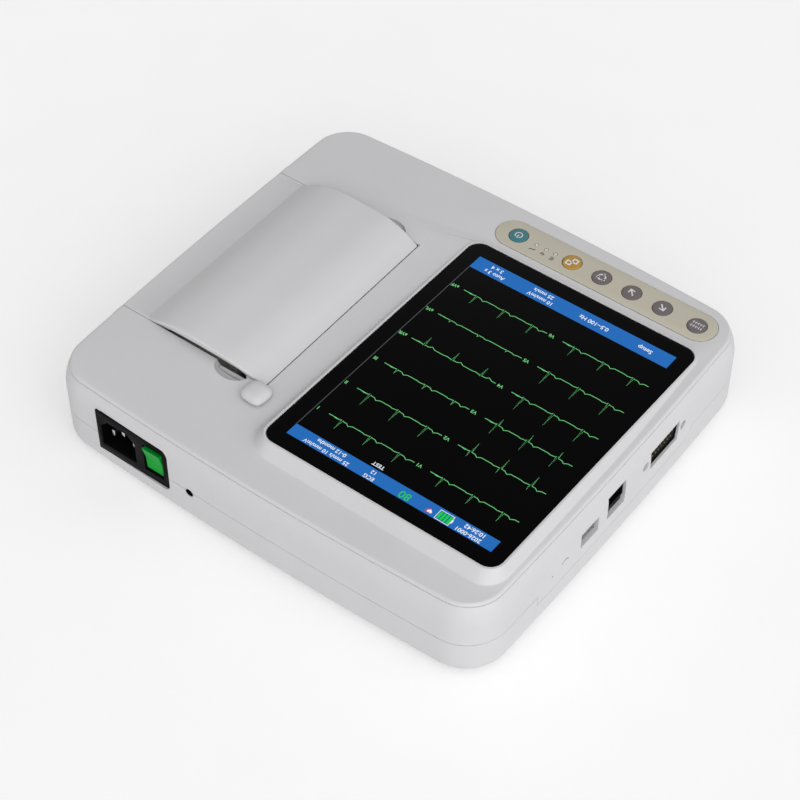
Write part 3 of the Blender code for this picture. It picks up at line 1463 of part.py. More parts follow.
def jack_places():
    return (ECG_Y - 0.5 * JACK_SPACING, ECG_Y + 0.5 * JACK_SPACING)


def socket_holes():
    """Every opening through the left wall's tongue."""
    outer = -BODY_HALF_X - BODY_BOW_X - BULGE - OVERRUN
    inner = SOCKET_FACE_X + 2 * WALL
    shapes = [prism(ecg_outline(ECG_RIM + GAP), "X", outer, inner)]
    for y in jack_places():
        shapes.append(rod("X", y, ECG_Z, JACK_RADIUS + GAP, outer, inner))
    for y, z, width, height in (
        (LAN_Y, LAN_Z, LAN_WIDTH, LAN_HEIGHT), (USB_Y, USB_Z, USB_WIDTH, USB_HEIGHT)
    ):
        half = 0.5 * width + SHELL_OF_SOCKET + GAP
        tall = 0.5 * height + SHELL_OF_SOCKET + GAP
        shapes.append(block((outer, y - half, z - tall), (inner, y + half, z + tall)))
    return combine(*shapes)


def ecg_connector():
    behind = SOCKET_FACE_X + WALL + GAP * 2
    end = behind + ECG_BODY_DEPTH
    floor = end - ECG_BODY_FLOOR
    half = 0.5 * ECG_FLANGE_WIDTH
    tall = 0.5 * ECG_FLANGE_HEIGHT
    low = main_board_box()[1][2] + GAP
    shell = make("ecg_connector", prism(ecg_outline(ECG_RIM), "X", SOCKET_FACE_X, end), STEEL)
    join(shell, "flange", block(
        (behind, ECG_Y - half, ECG_Z - tall), (behind + ECG_FLANGE_THICKNESS, ECG_Y + half, ECG_Z + tall)
    ))
    join(shell, "foot", block(
        (behind + GAP, ECG_Y - 0.5 * ECG_WIDTH, low), (end, ECG_Y + 0.5 * ECG_WIDTH, ECG_Z)
    ))
    cut(shell, "mouth", prism(ecg_outline(), "X", SOCKET_FACE_X - OVERRUN, floor))
    shank = JACK_SHANK_SHARE * JACK_RADIUS
    cut(shell, "jack_holes", combine(*[
        rod("X", y, ECG_Z, shank + GAP, behind - OVERRUN, behind + OVERRUN) for y in jack_places()
    ]))
    core = make("ecg_contacts", prism(
        ecg_outline(-GAP), "X", SOCKET_FACE_X + 2 * GAP, floor - GAP
    ), BLACK_PLASTIC)
    cut(core, "pin_holes", contact_holes())
    for number, y in enumerate(jack_places(), start=1):
        head = SOCKET_FACE_X - GAP
        profile = (
            (head, JACK_RADIUS),
            (behind - GAP, JACK_RADIUS),
            (behind - GAP, shank),
            (head + JACK_LENGTH, shank),
        )
        screw = make(f"jack_screw_{number}", turned("X", y, ECG_Z, profile, JACK_STEPS), STEEL)
        cut(screw, "thread", rod(
            "X", y, ECG_Z, JACK_THREAD_SHARE * JACK_RADIUS, head - OVERRUN, head + 0.5 * WALL, JACK_STEPS
        ))


def contact_holes():
    """The holes of the patient connector's contacts, in rows with one more hole each."""
    holes = []
    middle = 0.5 * (len(ECG_ROWS) - 1)
    for row, count in enumerate(ECG_ROWS):
        z = ECG_Z + (row - middle) * ECG_PIN_PITCH
        for number in range(count):
            y = ECG_Y + (number - 0.5 * (count - 1)) * ECG_PIN_PITCH
            holes.append(rod(
                "X", y, z, ECG_PIN_RADIUS, SOCKET_FACE_X - OVERRUN, SOCKET_FACE_X + OVERRUN, ECG_PIN_STEPS
            ))
    return combine(*holes)


def box_socket(name, y, z, width, height, depth, finish):
    """A socket with a rectangular mouth that stands on the main board."""
    half = 0.5 * width + SHELL_OF_SOCKET
    tall = 0.5 * height + SHELL_OF_SOCKET
    low = main_board_box()[1][2] + GAP
    face = SOCKET_FACE_X
    foot = SOCKET_FOOT_SHARE * half
    body = make(name, block(
        (face, y - half, z - tall), (face + SOCKET_BODY_DEPTH, y + half, z + tall)
    ), finish)
    join(body, "foot", block(
        (face + 2 * WALL + GAP, y - foot, low), (face + SOCKET_BODY_DEPTH - GAP, y + foot, z)
    ))
    cut(body, "mouth", block(
        (face - OVERRUN, y - 0.5 * width, z - 0.5 * height),
        (face + depth, y + 0.5 * width, z + 0.5 * height),
    ))
    return body


def sockets():
    box_socket("lan_socket", LAN_Y, LAN_Z, LAN_WIDTH, LAN_HEIGHT, LAN_DEPTH, STEEL)
    body = box_socket("usb_socket", USB_Y, USB_Z, USB_WIDTH, USB_HEIGHT, USB_DEPTH, STEEL)
    high = USB_Z + 0.5 * USB_HEIGHT
    reach = USB_TONGUE_SHARE * USB_WIDTH
    join(body, "tongue", block(
        (SOCKET_FACE_X + 2 * WALL, USB_Y - reach, high - USB_TONGUE),
        (SOCKET_FACE_X + USB_DEPTH + GAP, USB_Y + reach, high - GAP),
    ))


def boards():
    make("main_board", block(*main_board_box()), BOARD)
    make("power_board", block(*power_board_box()), BOARD)


def battery():
    make("battery_cover", cover_shape(0.0, BASE_Z, BASE_Z + COVER_THICKNESS), WHITE_PLASTIC)
    low = BASE_Z + COVER_THICKNESS + GAP
    make("battery_pack", battery_shape(0.0, low, low + BATTERY_HEIGHT), BLACK_PLASTIC)


def loudspeaker():
    low = BASE_Z + WALL + GAP
    step = low + SPEAKER_RIM_SHARE * SPEAKER_HEIGHT
    magnet = SPEAKER_MAGNET_SHARE * SPEAKER_RADIUS
    profile = ((low, SPEAKER_RADIUS), (step, SPEAKER_RADIUS), (step, magnet), (low + SPEAKER_HEIGHT, magnet))
    make("loudspeaker", turned("Z", SPEAKER_X, SPEAKER_Y, profile, 20), GREY_PLASTIC)


def feet():
    for number, (x, y) in enumerate(foot_places(), start=1):
        top = BASE_Z + FOOT_RECESS - GAP
        profile = ((0.0, FOOT_RADIUS - GAP * 2), (GAP * 2, FOOT_RADIUS), (top, FOOT_RADIUS))
        make(f"foot_{number}", turned("Z", x, y, profile, 24), RUBBER)


def screws():
    for number, (x, y) in enumerate(SCREW_PLACES, start=1):
        seat = screw_seat()
        profile = (
            (seat - SCREW_HEAD_HEIGHT, SCREW_HEAD_RADIUS),
            (seat - GAP, SCREW_HEAD_RADIUS),
            (seat - GAP, SCREW_RADIUS),
            (SCREW_TOP_Z, SCREW_RADIUS),
        )
        make(f"case_screw_{number}", turned("Z", x, y, profile, 12), STEEL)


def clear_scene():
    for item in list(bpy.data.objects):
        bpy.data.objects.remove(item)


def main():
    clear_scene()
    upper_shell()
    lower_shell()
    screen()
    key_strip()
    keys()
    key_board()
    lamps()
    printer_door()
    hinge_pin()
    roller()
    gear_train()
    paper_tub()
    paper()
    print_head()
    latch()
    mains_module()
    rocker()
    earth_terminal()
    ecg_connector()
    sockets()
    boards()
    battery()
    loudspeaker()
    feet()
    screws()


main()
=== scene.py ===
import math

import bmesh
import bpy
from bpy.props import FloatProperty, FloatVectorProperty, PointerProperty
from mathutils import Matrix, Vector


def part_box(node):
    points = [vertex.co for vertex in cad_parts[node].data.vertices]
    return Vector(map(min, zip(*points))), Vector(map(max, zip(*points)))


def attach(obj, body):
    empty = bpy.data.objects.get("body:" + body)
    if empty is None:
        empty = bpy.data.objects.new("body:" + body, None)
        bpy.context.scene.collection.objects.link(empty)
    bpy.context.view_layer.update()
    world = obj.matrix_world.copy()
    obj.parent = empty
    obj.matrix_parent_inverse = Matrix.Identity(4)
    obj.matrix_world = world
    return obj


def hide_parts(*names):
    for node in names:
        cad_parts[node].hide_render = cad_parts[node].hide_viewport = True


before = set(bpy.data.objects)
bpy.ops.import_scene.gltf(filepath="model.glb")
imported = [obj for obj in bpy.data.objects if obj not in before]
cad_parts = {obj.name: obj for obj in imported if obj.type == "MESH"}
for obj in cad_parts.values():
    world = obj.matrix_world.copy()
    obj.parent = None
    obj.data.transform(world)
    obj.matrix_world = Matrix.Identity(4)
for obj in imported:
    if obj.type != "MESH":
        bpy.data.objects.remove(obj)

bl_info = {
    "name": "Veterinary ECG machine",
    "version": (1, 0, 0),
    "blender": (4, 5, 0),
    "location": "3D View > Sidebar > ECG machine",
    "description": "Dresses the machine's CAD part with its moulded shells, screen, keys and materials",
    "category": "Object",
}

MM = 0.001
QUARTER = 0.5 * math.pi
CREASE_ANGLE = 32.0


def linear(code):
    """A linear RGB colour from an sRGB hex code."""
    parts = [int(code[i:i + 2], 16) / 255.0 for i in (1, 3, 5)]
    return tuple(c / 12.92 if c <= 0.04045 else ((c + 0.055) / 1.055) ** 2.4 for c in parts)


def length(label, about, mm):
    return FloatProperty(name=label, description=about, default=mm * MM, unit="LENGTH")


def paint(label, about, code):
    return FloatVectorProperty(
        name=label, description=about, default=linear(code), subtype="COLOR", min=0.0, max=1.0
    )


class EcgSizes(bpy.types.PropertyGroup):
    half_x: length("Case half width", "Half the case's width along its top crease, at its corners", 131.2)
    half_y: length("Case half depth", "Half the case's depth along its top crease, at its corners", 116.5)
    bow_x: length("Side bow", "How far the short sides bow outwards", 2.0)
    bow_y: length("End bow", "How far the long sides bow outwards", 4.0)
    corner: length("Corner radius", "Plan radius of the case's corners", 18.6)
    top_z: length("Top plate height", "Height of the flat top plate", 51.3)
    seam_z: length("Seam height", "Height of the joint between the two shells", 24.3)
    wall: length("Wall", "Wall thickness of the shells", 2.6)
    gap: length("Gap", "Clearance that parts the pieces", 0.3)
    glass_x: length("Glass centre X", "Centre of the cover glass", -54.6)
    glass_y: length("Glass centre Y", "Centre of the cover glass", 5.0)
    glass_z: length("Glass centre Z", "Height of the glass face at its centre", 54.5)
    glass_width: length("Glass width", "Width of the cover glass", 138.45)
    glass_length: length("Glass length", "Length of the cover glass", 179.27)
    glass_corner: length("Glass corner", "Corner radius of the cover glass", 7.5)
    glass_tilt: FloatProperty(
        name="Glass tilt", description="Slope of the screen towards the user", default=math.radians(1.884),
        subtype="ANGLE",
    )
    strip_x: length("Strip centre X", "Centre of the key strip", -55.95)
    strip_y: length("Strip centre Y", "Centre line of the keys", -100.6)
    strip_length: length("Strip length", "Length of the key strip", 134.7)
    strip_width: length("Strip width", "Width of the key strip", 20.2)
    key_radius: length("Key radius", "Radius of a key's cap", 5.25)
    door_slot_x: length("Door slot X", "Left edge of the printer's opening", 36.2)
    door_rear_y: length("Door rear Y", "Rear edge of the printer's opening", 64.7)
    door_front_y: length("Door front Y", "Front edge of the printer's opening", -63.5)
    hump_end_x: length("Hump end X", "Where the door's hump ends and its flat strip starts", 115.5)
    hump_height: length("Hump height", "Height of the door's hump over the top plate", 8.1)
    hinge_x: length("Hinge X", "Axis of the printer door", 128.5)
    hinge_z: length("Hinge Z", "Axis of the printer door", 46.5)


class EcgColours(bpy.types.PropertyGroup):
    case: paint("Case", "Warm white moulded plastic", "#D5D4D6")
    strip: paint("Key strip", "Beige printed label under the keys", "#C3BEAD")
    teal: paint("Power key", "Teal moulded key", "#2F747C")
    gold: paint("Mode key", "Ochre moulded key", "#B48A2C")
    grey: paint("Plain keys", "Grey moulded keys", "#675F61")
    rocker: paint("Rocker", "Green mains rocker", "#07A536")
    bar: paint("Screen bars", "Blue status bars on the display", "#1D6CBE")
    trace: paint("Traces", "Green traces on the display", "#6CCB7B")


def sizes():
    return bpy.context.scene.ecg_sizes


def colours():
    return bpy.context.scene.ecg_colours


# Shapes: each is a (points, faces) pair

WELD = 0.0002 * MM


def combine(*shapes):
    points = []
    faces = []
    for more_points, more_faces in shapes:
        start = len(points)
        points.extend(more_points)
        faces.extend([[start + i for i in face] for face in more_faces])
    return points, faces


def loft(rings):
    """A skin over rings of equally many points, closed at both ends."""
    count = len(rings[0])
    points = [point for ring in rings for point in ring]
    faces = [list(range(count))[::-1], list(range(len(points) - count, len(points)))]
    for low in range(0, len(points) - count, count):
        for i in range(count):
            j = (i + 1) % count
            faces.append([low + i, low + j, low + count + j, low + count + i])
    return points, faces


def welded(points, faces):
    """A shape whose equal points are one, without the faces that shrink away."""
    places = {}
    shared = [places.setdefault(tuple(round(v / WELD) for v in point), len(places)) for point in points]
    kept = {}
    for i, point in zip(shared, points):
        kept.setdefault(i, point)
    rings = [[shared[i] for i in face] for face in faces]
    rings = [[v for i, v in enumerate(ring) if v != ring[i - 1]] for ring in rings]
    return [kept[i] for i in range(len(kept))], [ring for ring in rings if len(set(ring)) == len(ring) > 2]


def place(axis, along, first, second):
    if axis == "X":
        return along, first, second
    if axis == "Y":
        return first, along, second
    return first, second, along


def quarter(steps):
    """(sine, cosine) pairs of a quarter turn, from nought upwards."""
    return [(math.sin(QUARTER * i / steps), math.cos(QUARTER * i / steps)) for i in range(steps + 1)]


def prism(outline, axis, start, end):
    return loft([[place(axis, along, a, b) for a, b in outline] for along in (start, end)])


def block(low, high):
    corners = [(low[0], low[1]), (high[0], low[1]), (high[0], high[1]), (low[0], high[1])]
    return prism(corners, "Z", low[2], high[2])


def turned(axis, first, second, profile, count):
    """A solid of revolution from (place along the axis, radius) pairs."""
    turn = math.tau / count
    return loft([
        [
            place(axis, along, first + radius * math.cos(i * turn), second + radius * math.sin(i * turn))
            for i in range(count)
        ]
        for along, radius in profile
    ])


def tube(axis, first, second, profile, count):
    """A ring of revolution, its profile closed on itself."""
    points, faces = turned(axis, first, second, profile, count)
    last = len(points) - count
    return points, faces[2:] + [[last + i, last + (i + 1) % count, (i + 1) % count, i] for i in range(count)]


def rod(axis, first, second, radius, start, end, count=48):
    return turned(axis, first, second, ((start, radius), (end, radius)), count)


def rounded(left, right, front, rear, radius, steps=8):
    points = []
    low_x, high_x, low_y, high_y = left + radius, right - radius, front + radius, rear - radius
    for turns, (x, y) in enumerate(((high_x, high_y), (low_x, high_y), (low_x, low_y), (high_x, low_y))):
        for step in range(steps + 1):
            angle = QUARTER * turns + QUARTER * step / steps
            points.append((x + radius * math.cos(angle), y + radius * math.sin(angle)))
    return points


def slab(outline, axis, start, end, edge, steps):
    """A prism whose rims are rounded by an edge radius; the outline is given as a function of its inset."""
    rings = []
    side = math.copysign(1.0, end - start)
    for base, sense in ((start, 1.0), (end, -1.0)):
        for sine, cosine in quarter(steps)[::int(sense)]:
            along = base + side * sense * edge * (1.0 - cosine)
            rings.append([place(axis, along, a, b) for a, b in outline(edge * (1.0 - sine))])
    return loft(rings)


# Objects

def link(name, data):
    """An object of the scene that shows some data."""
    item = bpy.data.objects.new(name, data)
    bpy.context.scene.collection.objects.link(item)
    return item


def make(name, shape, finish=None, angle=CREASE_ANGLE):
    """A piece from a shape, with faces outwards and creases kept sharp."""
    points, faces = shape
    mesh = bpy.data.meshes.new(name)
    mesh.from_pydata([Vector(point) for point in points], [], faces)
    work = bmesh.new()
    work.from_mesh(mesh)
    bmesh.ops.recalc_face_normals(work, faces=work.faces)
    work.to_mesh(mesh)
    work.free()
    if finish:
        mesh.materials.append(finish)
    smooth(mesh, angle)
    return link(name, mesh)


def smooth(mesh, angle):
    mesh.shade_smooth()
    mesh.set_sharp_from_angle(angle=math.radians(angle))


def bake(item, angle=CREASE_ANGLE):
    """Makes an object's modifiers part of its mesh."""
    graph = bpy.context.evaluated_depsgraph_get()
    mesh = bpy.data.meshes.new_from_object(item.evaluated_get(graph), depsgraph=graph)
    item.modifiers.clear()
    old = item.data
    item.data = mesh
    bpy.data.meshes.remove(old)
    smooth(item.data, angle)
    return item


def facet(mesh):
    """Splits a mesh's faces into triangles, which are flat whatever their corners do."""
    work = bmesh.new()
    work.from_mesh(mesh)
    bmesh.ops.triangulate(work, faces=work.faces)
    work.to_mesh(mesh)
    work.free()


def grown(name, points, edges, build, number, finish):
    """A piece grown by Geometry Nodes from points and edges; build makes its shape and may use the number."""
    mesh = bpy.data.meshes.new(name)
    mesh.from_pydata([Vector(point) for point in points], edges, [])
    item = link(name, mesh)
    tree = bpy.data.node_groups.new(name, "GeometryNodeTree")
    tree.interface.new_socket("Geometry", in_out="INPUT", socket_type="NodeSocketGeometry")
    socket = tree.interface.new_socket(number[0], in_out="INPUT", socket_type="NodeSocketFloat")
    tree.interface.new_socket("Geometry", in_out="OUTPUT", socket_type="NodeSocketGeometry")
    shape = build(tree, add(tree, "NodeGroupInput"))
    whole = add(tree, "GeometryNodeRealizeInstances", {"Geometry": shape}).outputs["Geometry"]
    painted = add(tree, "GeometryNodeSetMaterial", {"Geometry": whole, "Material": finish})
    add(tree, "NodeGroupOutput", {"Geometry": painted.outputs["Geometry"]})
    step = item.modifiers.new(name, "NODES")
    step.node_group = tree
    step[socket.identifier] = number[1]
    return bake(item)


def cuts(*shapes):
    return [("DIFFERENCE", shape) for shape in shapes]


def joins(*shapes):
    return [("UNION", shape) for shape in shapes]


def carve(item, steps, angle=CREASE_ANGLE, curved=False):
    """Cuts, joins or keeps shapes, in order, and makes the result the object's mesh."""
    tools = []
    if curved:
        facet(item.data)
    for operation, shape in steps:
        tool = make("tool", shape)
        if curved:
            facet(tool.data)
        step = item.modifiers.new("step", "BOOLEAN")
        step.operation = operation
        step.object = tool
        tools.append(tool)
    bake(item, angle)
    for tool in tools:
        bpy.data.objects.remove(tool)
    return item


def stand_for(item, body, slot, *nodes):
    """Lets a piece ride on a body and stand for the CAD nodes it was made from, which it hides; its slot is
    not used.
    """
    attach(item, body)
    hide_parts(*nodes)


def mark(name, shape, finish, body="case"):
    """A piece that rides on a body and stands for no CAD node."""
    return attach(make(name, shape, finishes()[finish]), body)


def middle(node):
    """The centre of a CAD node's box."""
    return tuple(0.5 * (a + b) for a, b in zip(*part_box(node)))


def dress(finish, *nodes):
    """Gives carried-over CAD nodes a finish."""
    for name in nodes:
        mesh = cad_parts[name].data
        mesh.materials.clear()
        mesh.materials.append(finish)


# Materials

ROLL_CENTRE = (86.0 * MM, 0.0, 32.3 * MM)
LAYER = 0.9 * MM
PIXEL = 0.25 * MM


def add(tree, kind, inputs=None, **settings):
    """Adds a shader or geometry node; an input's value is a constant or the output that feeds it."""
    item = tree.nodes.new(kind)
    for key, value in settings.items():
        setattr(item, key, value)
    for key, value in (inputs or {}).items():
        socket = item.inputs[key]
        if isinstance(value, bpy.types.NodeSocket):
            tree.links.new(value, socket)
        else:
            socket.default_value = value
    return item


def start(name, roughness, metallic=0.0):
    """An empty material: its tree, its shader and the object's own coordinates."""
    material = bpy.data.materials.new(name)
    material.use_nodes = True
    tree = material.node_tree
    shader = tree.nodes["Principled BSDF"]
    shader.inputs["Roughness"].default_value = roughness
    shader.inputs["Metallic"].default_value = metallic
    return material, tree, shader, add(tree, "ShaderNodeTexCoord").outputs["Object"]


def calc(tree, operation, *values):
    """The result of a math node."""
    return add(tree, "ShaderNodeMath", dict(enumerate(values)), operation=operation).outputs[0]


def noise(tree, where, size, detail=2.0):
    """Noise whose features are about a size across."""
    item = add(tree, "ShaderNodeTexNoise", {"Vector": where, "Scale": 1.0 / size, "Detail": detail})
    return item.outputs["Fac"]


def blend(tree, share, first, second):
    item = add(tree, "ShaderNodeMix", data_type="RGBA")
    for index, value in ((0, share), (6, first), (7, second)):
        if isinstance(value, bpy.types.NodeSocket):
            tree.links.new(value, item.inputs[index])
        else:
            item.inputs[index].default_value = value if index == 0 else (*value[:3], 1.0)
    return item.outputs[2]


def spread(tree, value, low, high):
    return add(tree, "ShaderNodeMapRange", {"Value": value, "To Min": low, "To Max": high}).outputs["Result"]


def scaled(colour, share):
    return tuple(min(part * share, 1.0) for part in colour[:3])


def relief(tree, shader, height, depth, strength, round_edge=0.0):
    """Bumps the surface by a height pattern, over edges softened by a small radius."""
    inputs = {"Height": height, "Distance": depth, "Strength": strength}
    if round_edge:
        inputs["Normal"] = add(tree, "ShaderNodeBevel", {"Radius": round_edge}, samples=6).outputs["Normal"]
    bump = add(tree, "ShaderNodeBump", inputs)
    tree.links.new(bump.outputs["Normal"], shader.inputs["Normal"])


def moulded(name, colour, grain, roughness, edge, shine=0.5):
    """Injection-moulded plastic with the fine spark-eroded grain of its tool and slight shade drift."""
    material, tree, shader, where = start(name, roughness)
    drift = noise(tree, where, 30.0 * MM)
    base = blend(tree, drift, scaled(colour, 0.97), scaled(colour, 1.03))
    tree.links.new(base, shader.inputs["Base Color"])
    grains = noise(tree, where, grain, 3.0)
    tree.links.new(spread(tree, grains, roughness - 0.05, roughness + 0.08), shader.inputs["Roughness"])
    shader.inputs["Specular IOR Level"].default_value = shine
    relief(tree, shader, grains, 0.01 * MM, 0.35, edge)
    return material


def metal(name, code, roughness, brush=(1.0, 1.0, 20.0), grain=1.0 * MM):
    """Rolled or plated metal, its draw lines stretched along one axis."""
    material, tree, shader, where = start(name, roughness, 1.0)
    stretched = add(tree, "ShaderNodeVectorMath", {0: where, 1: brush}, operation="MULTIPLY")
    lines = noise(tree, stretched.outputs["Vector"], grain, 4.0)
    colour = linear(code)
    tree.links.new(blend(tree, lines, scaled(colour, 0.86), colour), shader.inputs["Base Color"])
    tree.links.new(spread(tree, lines, roughness - 0.1, roughness + 0.12), shader.inputs["Roughness"])
    relief(tree, shader, lines, 0.004 * MM, 0.3, 0.15 * MM)
    return material


def rubber(name, code, roughness=0.8):
    """Moulded rubber with a dusty, uneven sheen."""
    material, tree, shader, where = start(name, roughness)
    dust = noise(tree, where, 2.5 * MM, 4.0)
    colour = linear(code)
    tree.links.new(blend(tree, dust, scaled(colour, 0.8), scaled(colour, 1.5)), shader.inputs["Base Color"])
    shader.inputs["Sheen Weight"].default_value = 0.15
    relief(tree, shader, noise(tree, where, 0.4 * MM), 0.02 * MM, 0.4, 0.2 * MM)
    return material


def glass(name):
    """Black-backed cover glass with an anti-glare coat, so that little shows in it; very slightly uneven."""
    material, tree, shader, where = start(name, 0.06)
    cloud = noise(tree, where, 60.0 * MM)
    tree.links.new(blend(tree, cloud, linear("#030304"), linear("#060607")), shader.inputs["Base Color"])
    tree.links.new(spread(tree, cloud, 0.05, 0.09), shader.inputs["Roughness"])
    shader.inputs["IOR"].default_value = 1.5
    shader.inputs["Specular IOR Level"].default_value = 0.02
    return material


def lit(name, colour, strength):
    """A lit area of the display, broken by its fine pixel grid."""
    material, tree, shader, where = start(name, 0.15)
    parts = add(tree, "ShaderNodeSeparateXYZ", {"Vector": where})
    wave = calc(tree, "SINE", calc(tree, "MULTIPLY", parts.outputs["X"], math.tau / PIXEL))
    shade = blend(tree, spread(tree, wave, 0.0, 1.0), scaled(colour, 0.9), scaled(colour, 1.05))
    shader.inputs["Base Color"].default_value = (*scaled(colour, 0.1), 1.0)
    shader.inputs["Specular IOR Level"].default_value = 0.1
    tree.links.new(shade, shader.inputs["Emission Color"])
    shader.inputs["Emission Strength"].default_value = strength
    return material


def circuit(name, code):
    """Green solder mask over copper: tracks show as paler lines with square turns."""
    material, tree, shader, where = start(name, 0.35)
    cells = add(tree, "ShaderNodeTexBrick", {
        "Vector": where, "Scale": 1.0, "Mortar Size": 0.25 * MM, "Brick Width": 7.0 * MM,
        "Row Height": 2.2 * MM,
    })
    tracks = spread(tree, cells.outputs["Fac"], 0.0, 1.0)
    patches = noise(tree, where, 25.0 * MM)
    colour = linear(code)
    base = blend(tree, patches, scaled(colour, 0.7), colour)
    tree.links.new(blend(tree, tracks, base, scaled(colour, 1.9)), shader.inputs["Base Color"])
    shader.inputs["Coat Weight"].default_value = 0.3
    relief(tree, shader, tracks, 0.04 * MM, 0.5)
    return material


def paper_finish(name):
    """Thermal chart paper: a smooth off-white face with the faint edges of its wound layers."""
    material, tree, shader, where = start(name, 0.7)
    fibres = noise(tree, where, 0.6 * MM, 5.0)
    tree.links.new(blend(tree, fibres, linear("#E4E1DA"), linear("#F2F0EA")), shader.inputs["Base Color"])
    parts = add(tree, "ShaderNodeSeparateXYZ", {"Vector": where})
    centre = add(tree, "ShaderNodeCombineXYZ", {"X": parts.outputs["X"], "Z": parts.outputs["Z"]})
    apart = add(tree, "ShaderNodeVectorMath", {0: centre.outputs[0], 1: ROLL_CENTRE}, operation="DISTANCE")
    layers = calc(tree, "MULTIPLY", apart.outputs["Value"], math.tau / LAYER)
    relief(tree, shader, calc(tree, "SINE", layers), 0.03 * MM, 0.6)
    return material


# Kinds of plastic: name, then colour, grain in mm, roughness, softened edges' radius in mm, shine
MOULDED = {
    "case": ("case_abs", "case", 0.6, 0.42, 0.35),
    "strip": ("strip_label", "strip", 0.4, 0.5, 0.1),
    "teal": ("key_teal", "teal", 0.4, 0.36, 0.4),
    "gold": ("key_gold", "gold", 0.4, 0.36, 0.4),
    "grey": ("key_grey", "grey", 0.4, 0.4, 0.4),
    "mark": ("key_print_white", "#E3E0E2", 0.3, 0.5, 0.0),
    "ink": ("strip_print_dark", "#5B5850", 0.3, 0.5, 0.0),
    "black": ("black_pbt", "#070708", 0.5, 0.45, 0.25, 0.04),
    "dark": ("dark_grey_abs", "#2B2C2E", 0.5, 0.5, 0.25),
    "rocker": ("green_pbt", "rocker", 0.5, 0.35, 0.4, 0.05),
    "acetal": ("natural_acetal", "#DEDACF", 0.4, 0.35, 0.1),
    "cell": ("battery_sleeve", "#23467A", 0.8, 0.3, 0.5),
    "chip": ("epoxy_chip", "#18191A", 0.3, 0.45, 0.1),
    "lamp": ("lamp_lens", "#D6D3CA", 0.4, 0.3, 0.1),
}
# Lit areas of the display: colour, strength
LIT = {
    "bar": ("bar", 0.9),
    "trace": ("trace", 1.0),
    "charge": ("#12C93F", 1.0),
    "shade": ("#0A2A18", 1.0),
    "text": ("#E8EEF5", 0.95),
    "green": ("#25C45A", 0.9),
    "red": ("#C8392F", 0.9),
    "edge": ("#5C6066", 0.5),
}
FINISHES = {}


def tint(colour):
    """A colour from its hex code or from its name among the colours."""
    return linear(colour) if colour[0] == "#" else getattr(colours(), colour)


def finishes():
    """Every finish, made once and kept by name."""
    if not FINISHES:
        for key, (name, colour, grain, roughness, edge, *shine) in MOULDED.items():
            FINISHES[key] = moulded(name, tint(colour), grain * MM, roughness, edge * MM, *shine)
        for key, (colour, strength) in LIT.items():
            FINISHES[key] = lit("display_" + key, tint(colour), strength)
        FINISHES.update({
            "steel": metal("zinc_plated_steel", "#B9BABC", 0.34),
            "tin": metal("tin_plate", "#C9C9CB", 0.24, (1.0, 8.0, 1.0), 0.8 * MM),
            "nickel": metal("black_nickel_plate", "#1E1E20", 0.4, (1.0, 8.0, 1.0), 0.8 * MM),
            "brass": metal("turned_brass", "#C9A45A", 0.28, (6.0, 1.0, 6.0), 0.8 * MM),
            "rubber": rubber("black_rubber", "#1B1B1C"),
            "roller": rubber("silicone_roller", "#3A3A3C", 0.6),
            "glass": glass("black_backed_glass"),
            "board": circuit("solder_mask", "#1E5A34"),
            "paper": paper_finish("thermal_paper"),
        })
    return FINISHES


# Case shells

BULGE = 2.8 * MM
CREASE_INSET = 0.3 * MM
TOP_INSET = 2.0 * MM
BULGE_TOP_Z = 37.0 * MM
CREASE_Z = 49.7 * MM
BASE_Z = 2.5 * MM
BASE_ROUND = 6.5 * MM
SHELL_FOOT_Z = 14.2 * MM
GROOVE_DEPTH = 0.75 * MM
GROOVE_Z = (49.45 * MM, 49.8 * MM)
WALL_STEPS = 11
GROOVE_SHARE = 0.97
ROUND_START = 0.12
ROUND_STEPS = 8
SHOULDER = (0.8 * MM, 46.0 * MM)
OVERRUN = 4.0 * MM
TONGUE_Z = 18.2 * MM
TONGUE_RADIUS = 12.0 * MM
TONGUE_REAR_Y = 73.0 * MM
TONGUE_FRONT_Y = -54.0 * MM
TONGUE_DEPTH = 10.0 * MM
GLASS_THICKNESS = 1.8 * MM
GLASS_RIM = 1.5 * MM
WINDOW = (126.6 * MM, 166.6 * MM)
UNDER_WINDOW = (134.6 * MM, 174.6 * MM)
WINDOW_DEPTH = 15.0 * MM
WINDOW_WALL = 4.6 * MM
BANK_LEVELS = 19
LUG = 4.0 * MM
LUG_LENGTH = 6.0 * MM
PIN_HOLE = 1.8 * MM
SCOOP_X = 57.5 * MM
SCOOP_HALF = (10.2 * MM, 7.6 * MM, 4.6 * MM)
BOWL_X = (45.7 * MM, 69.3 * MM)
BOWL_Y = (1.9 * MM, 9.2 * MM)
BOWL_DEPTH = 6.2 * MM
KEYS = (
    ("power_key", -1.5, "teal"),
    ("mode_key", -35.6, "gold"),
    ("feed_key", -54.2, "grey"),
    ("up_key", -72.8, "grey"),
    ("down_key", -91.5, "grey"),
    ("print_key", -112.4, "grey"),
)
LAMPS = (("lamp_1", -13.1), ("lamp_2", -19.3), ("lamp_3", -25.1))
SCREWS = ((-60.0, -86.8), (-60.0, 103.0), (110.0, -98.0), (112.0, 99.0))
MOUTH_Y = -36.0 * MM
MOUTH_Z = 33.9 * MM
MOUTH_RIM = 0.8 * MM
JACK_REACH = 17.3 * MM
JACK_HOLE = 2.6 * MM
EARTH_HOLE = 2.9 * MM
MAINS_CORNER = 4.0 * MM
COVER_CORNER = 4.0 * MM
BOSS = 4.0 * MM
SCREW_HOLE = 1.7 * MM
HEAD_HOLE = 2.9 * MM
HEAD_DEPTH = 2.3 * MM
FOOT_SEAT = 8.3 * MM
FOOT_DEPTH = 0.8 * MM
PACK_RECESS = 7 * MM
STRIP_DEPTH = 0.6 * MM
STEM_HOLE = (2.8 * MM, 3.3 * MM)
CASE_CREASE = 38.0
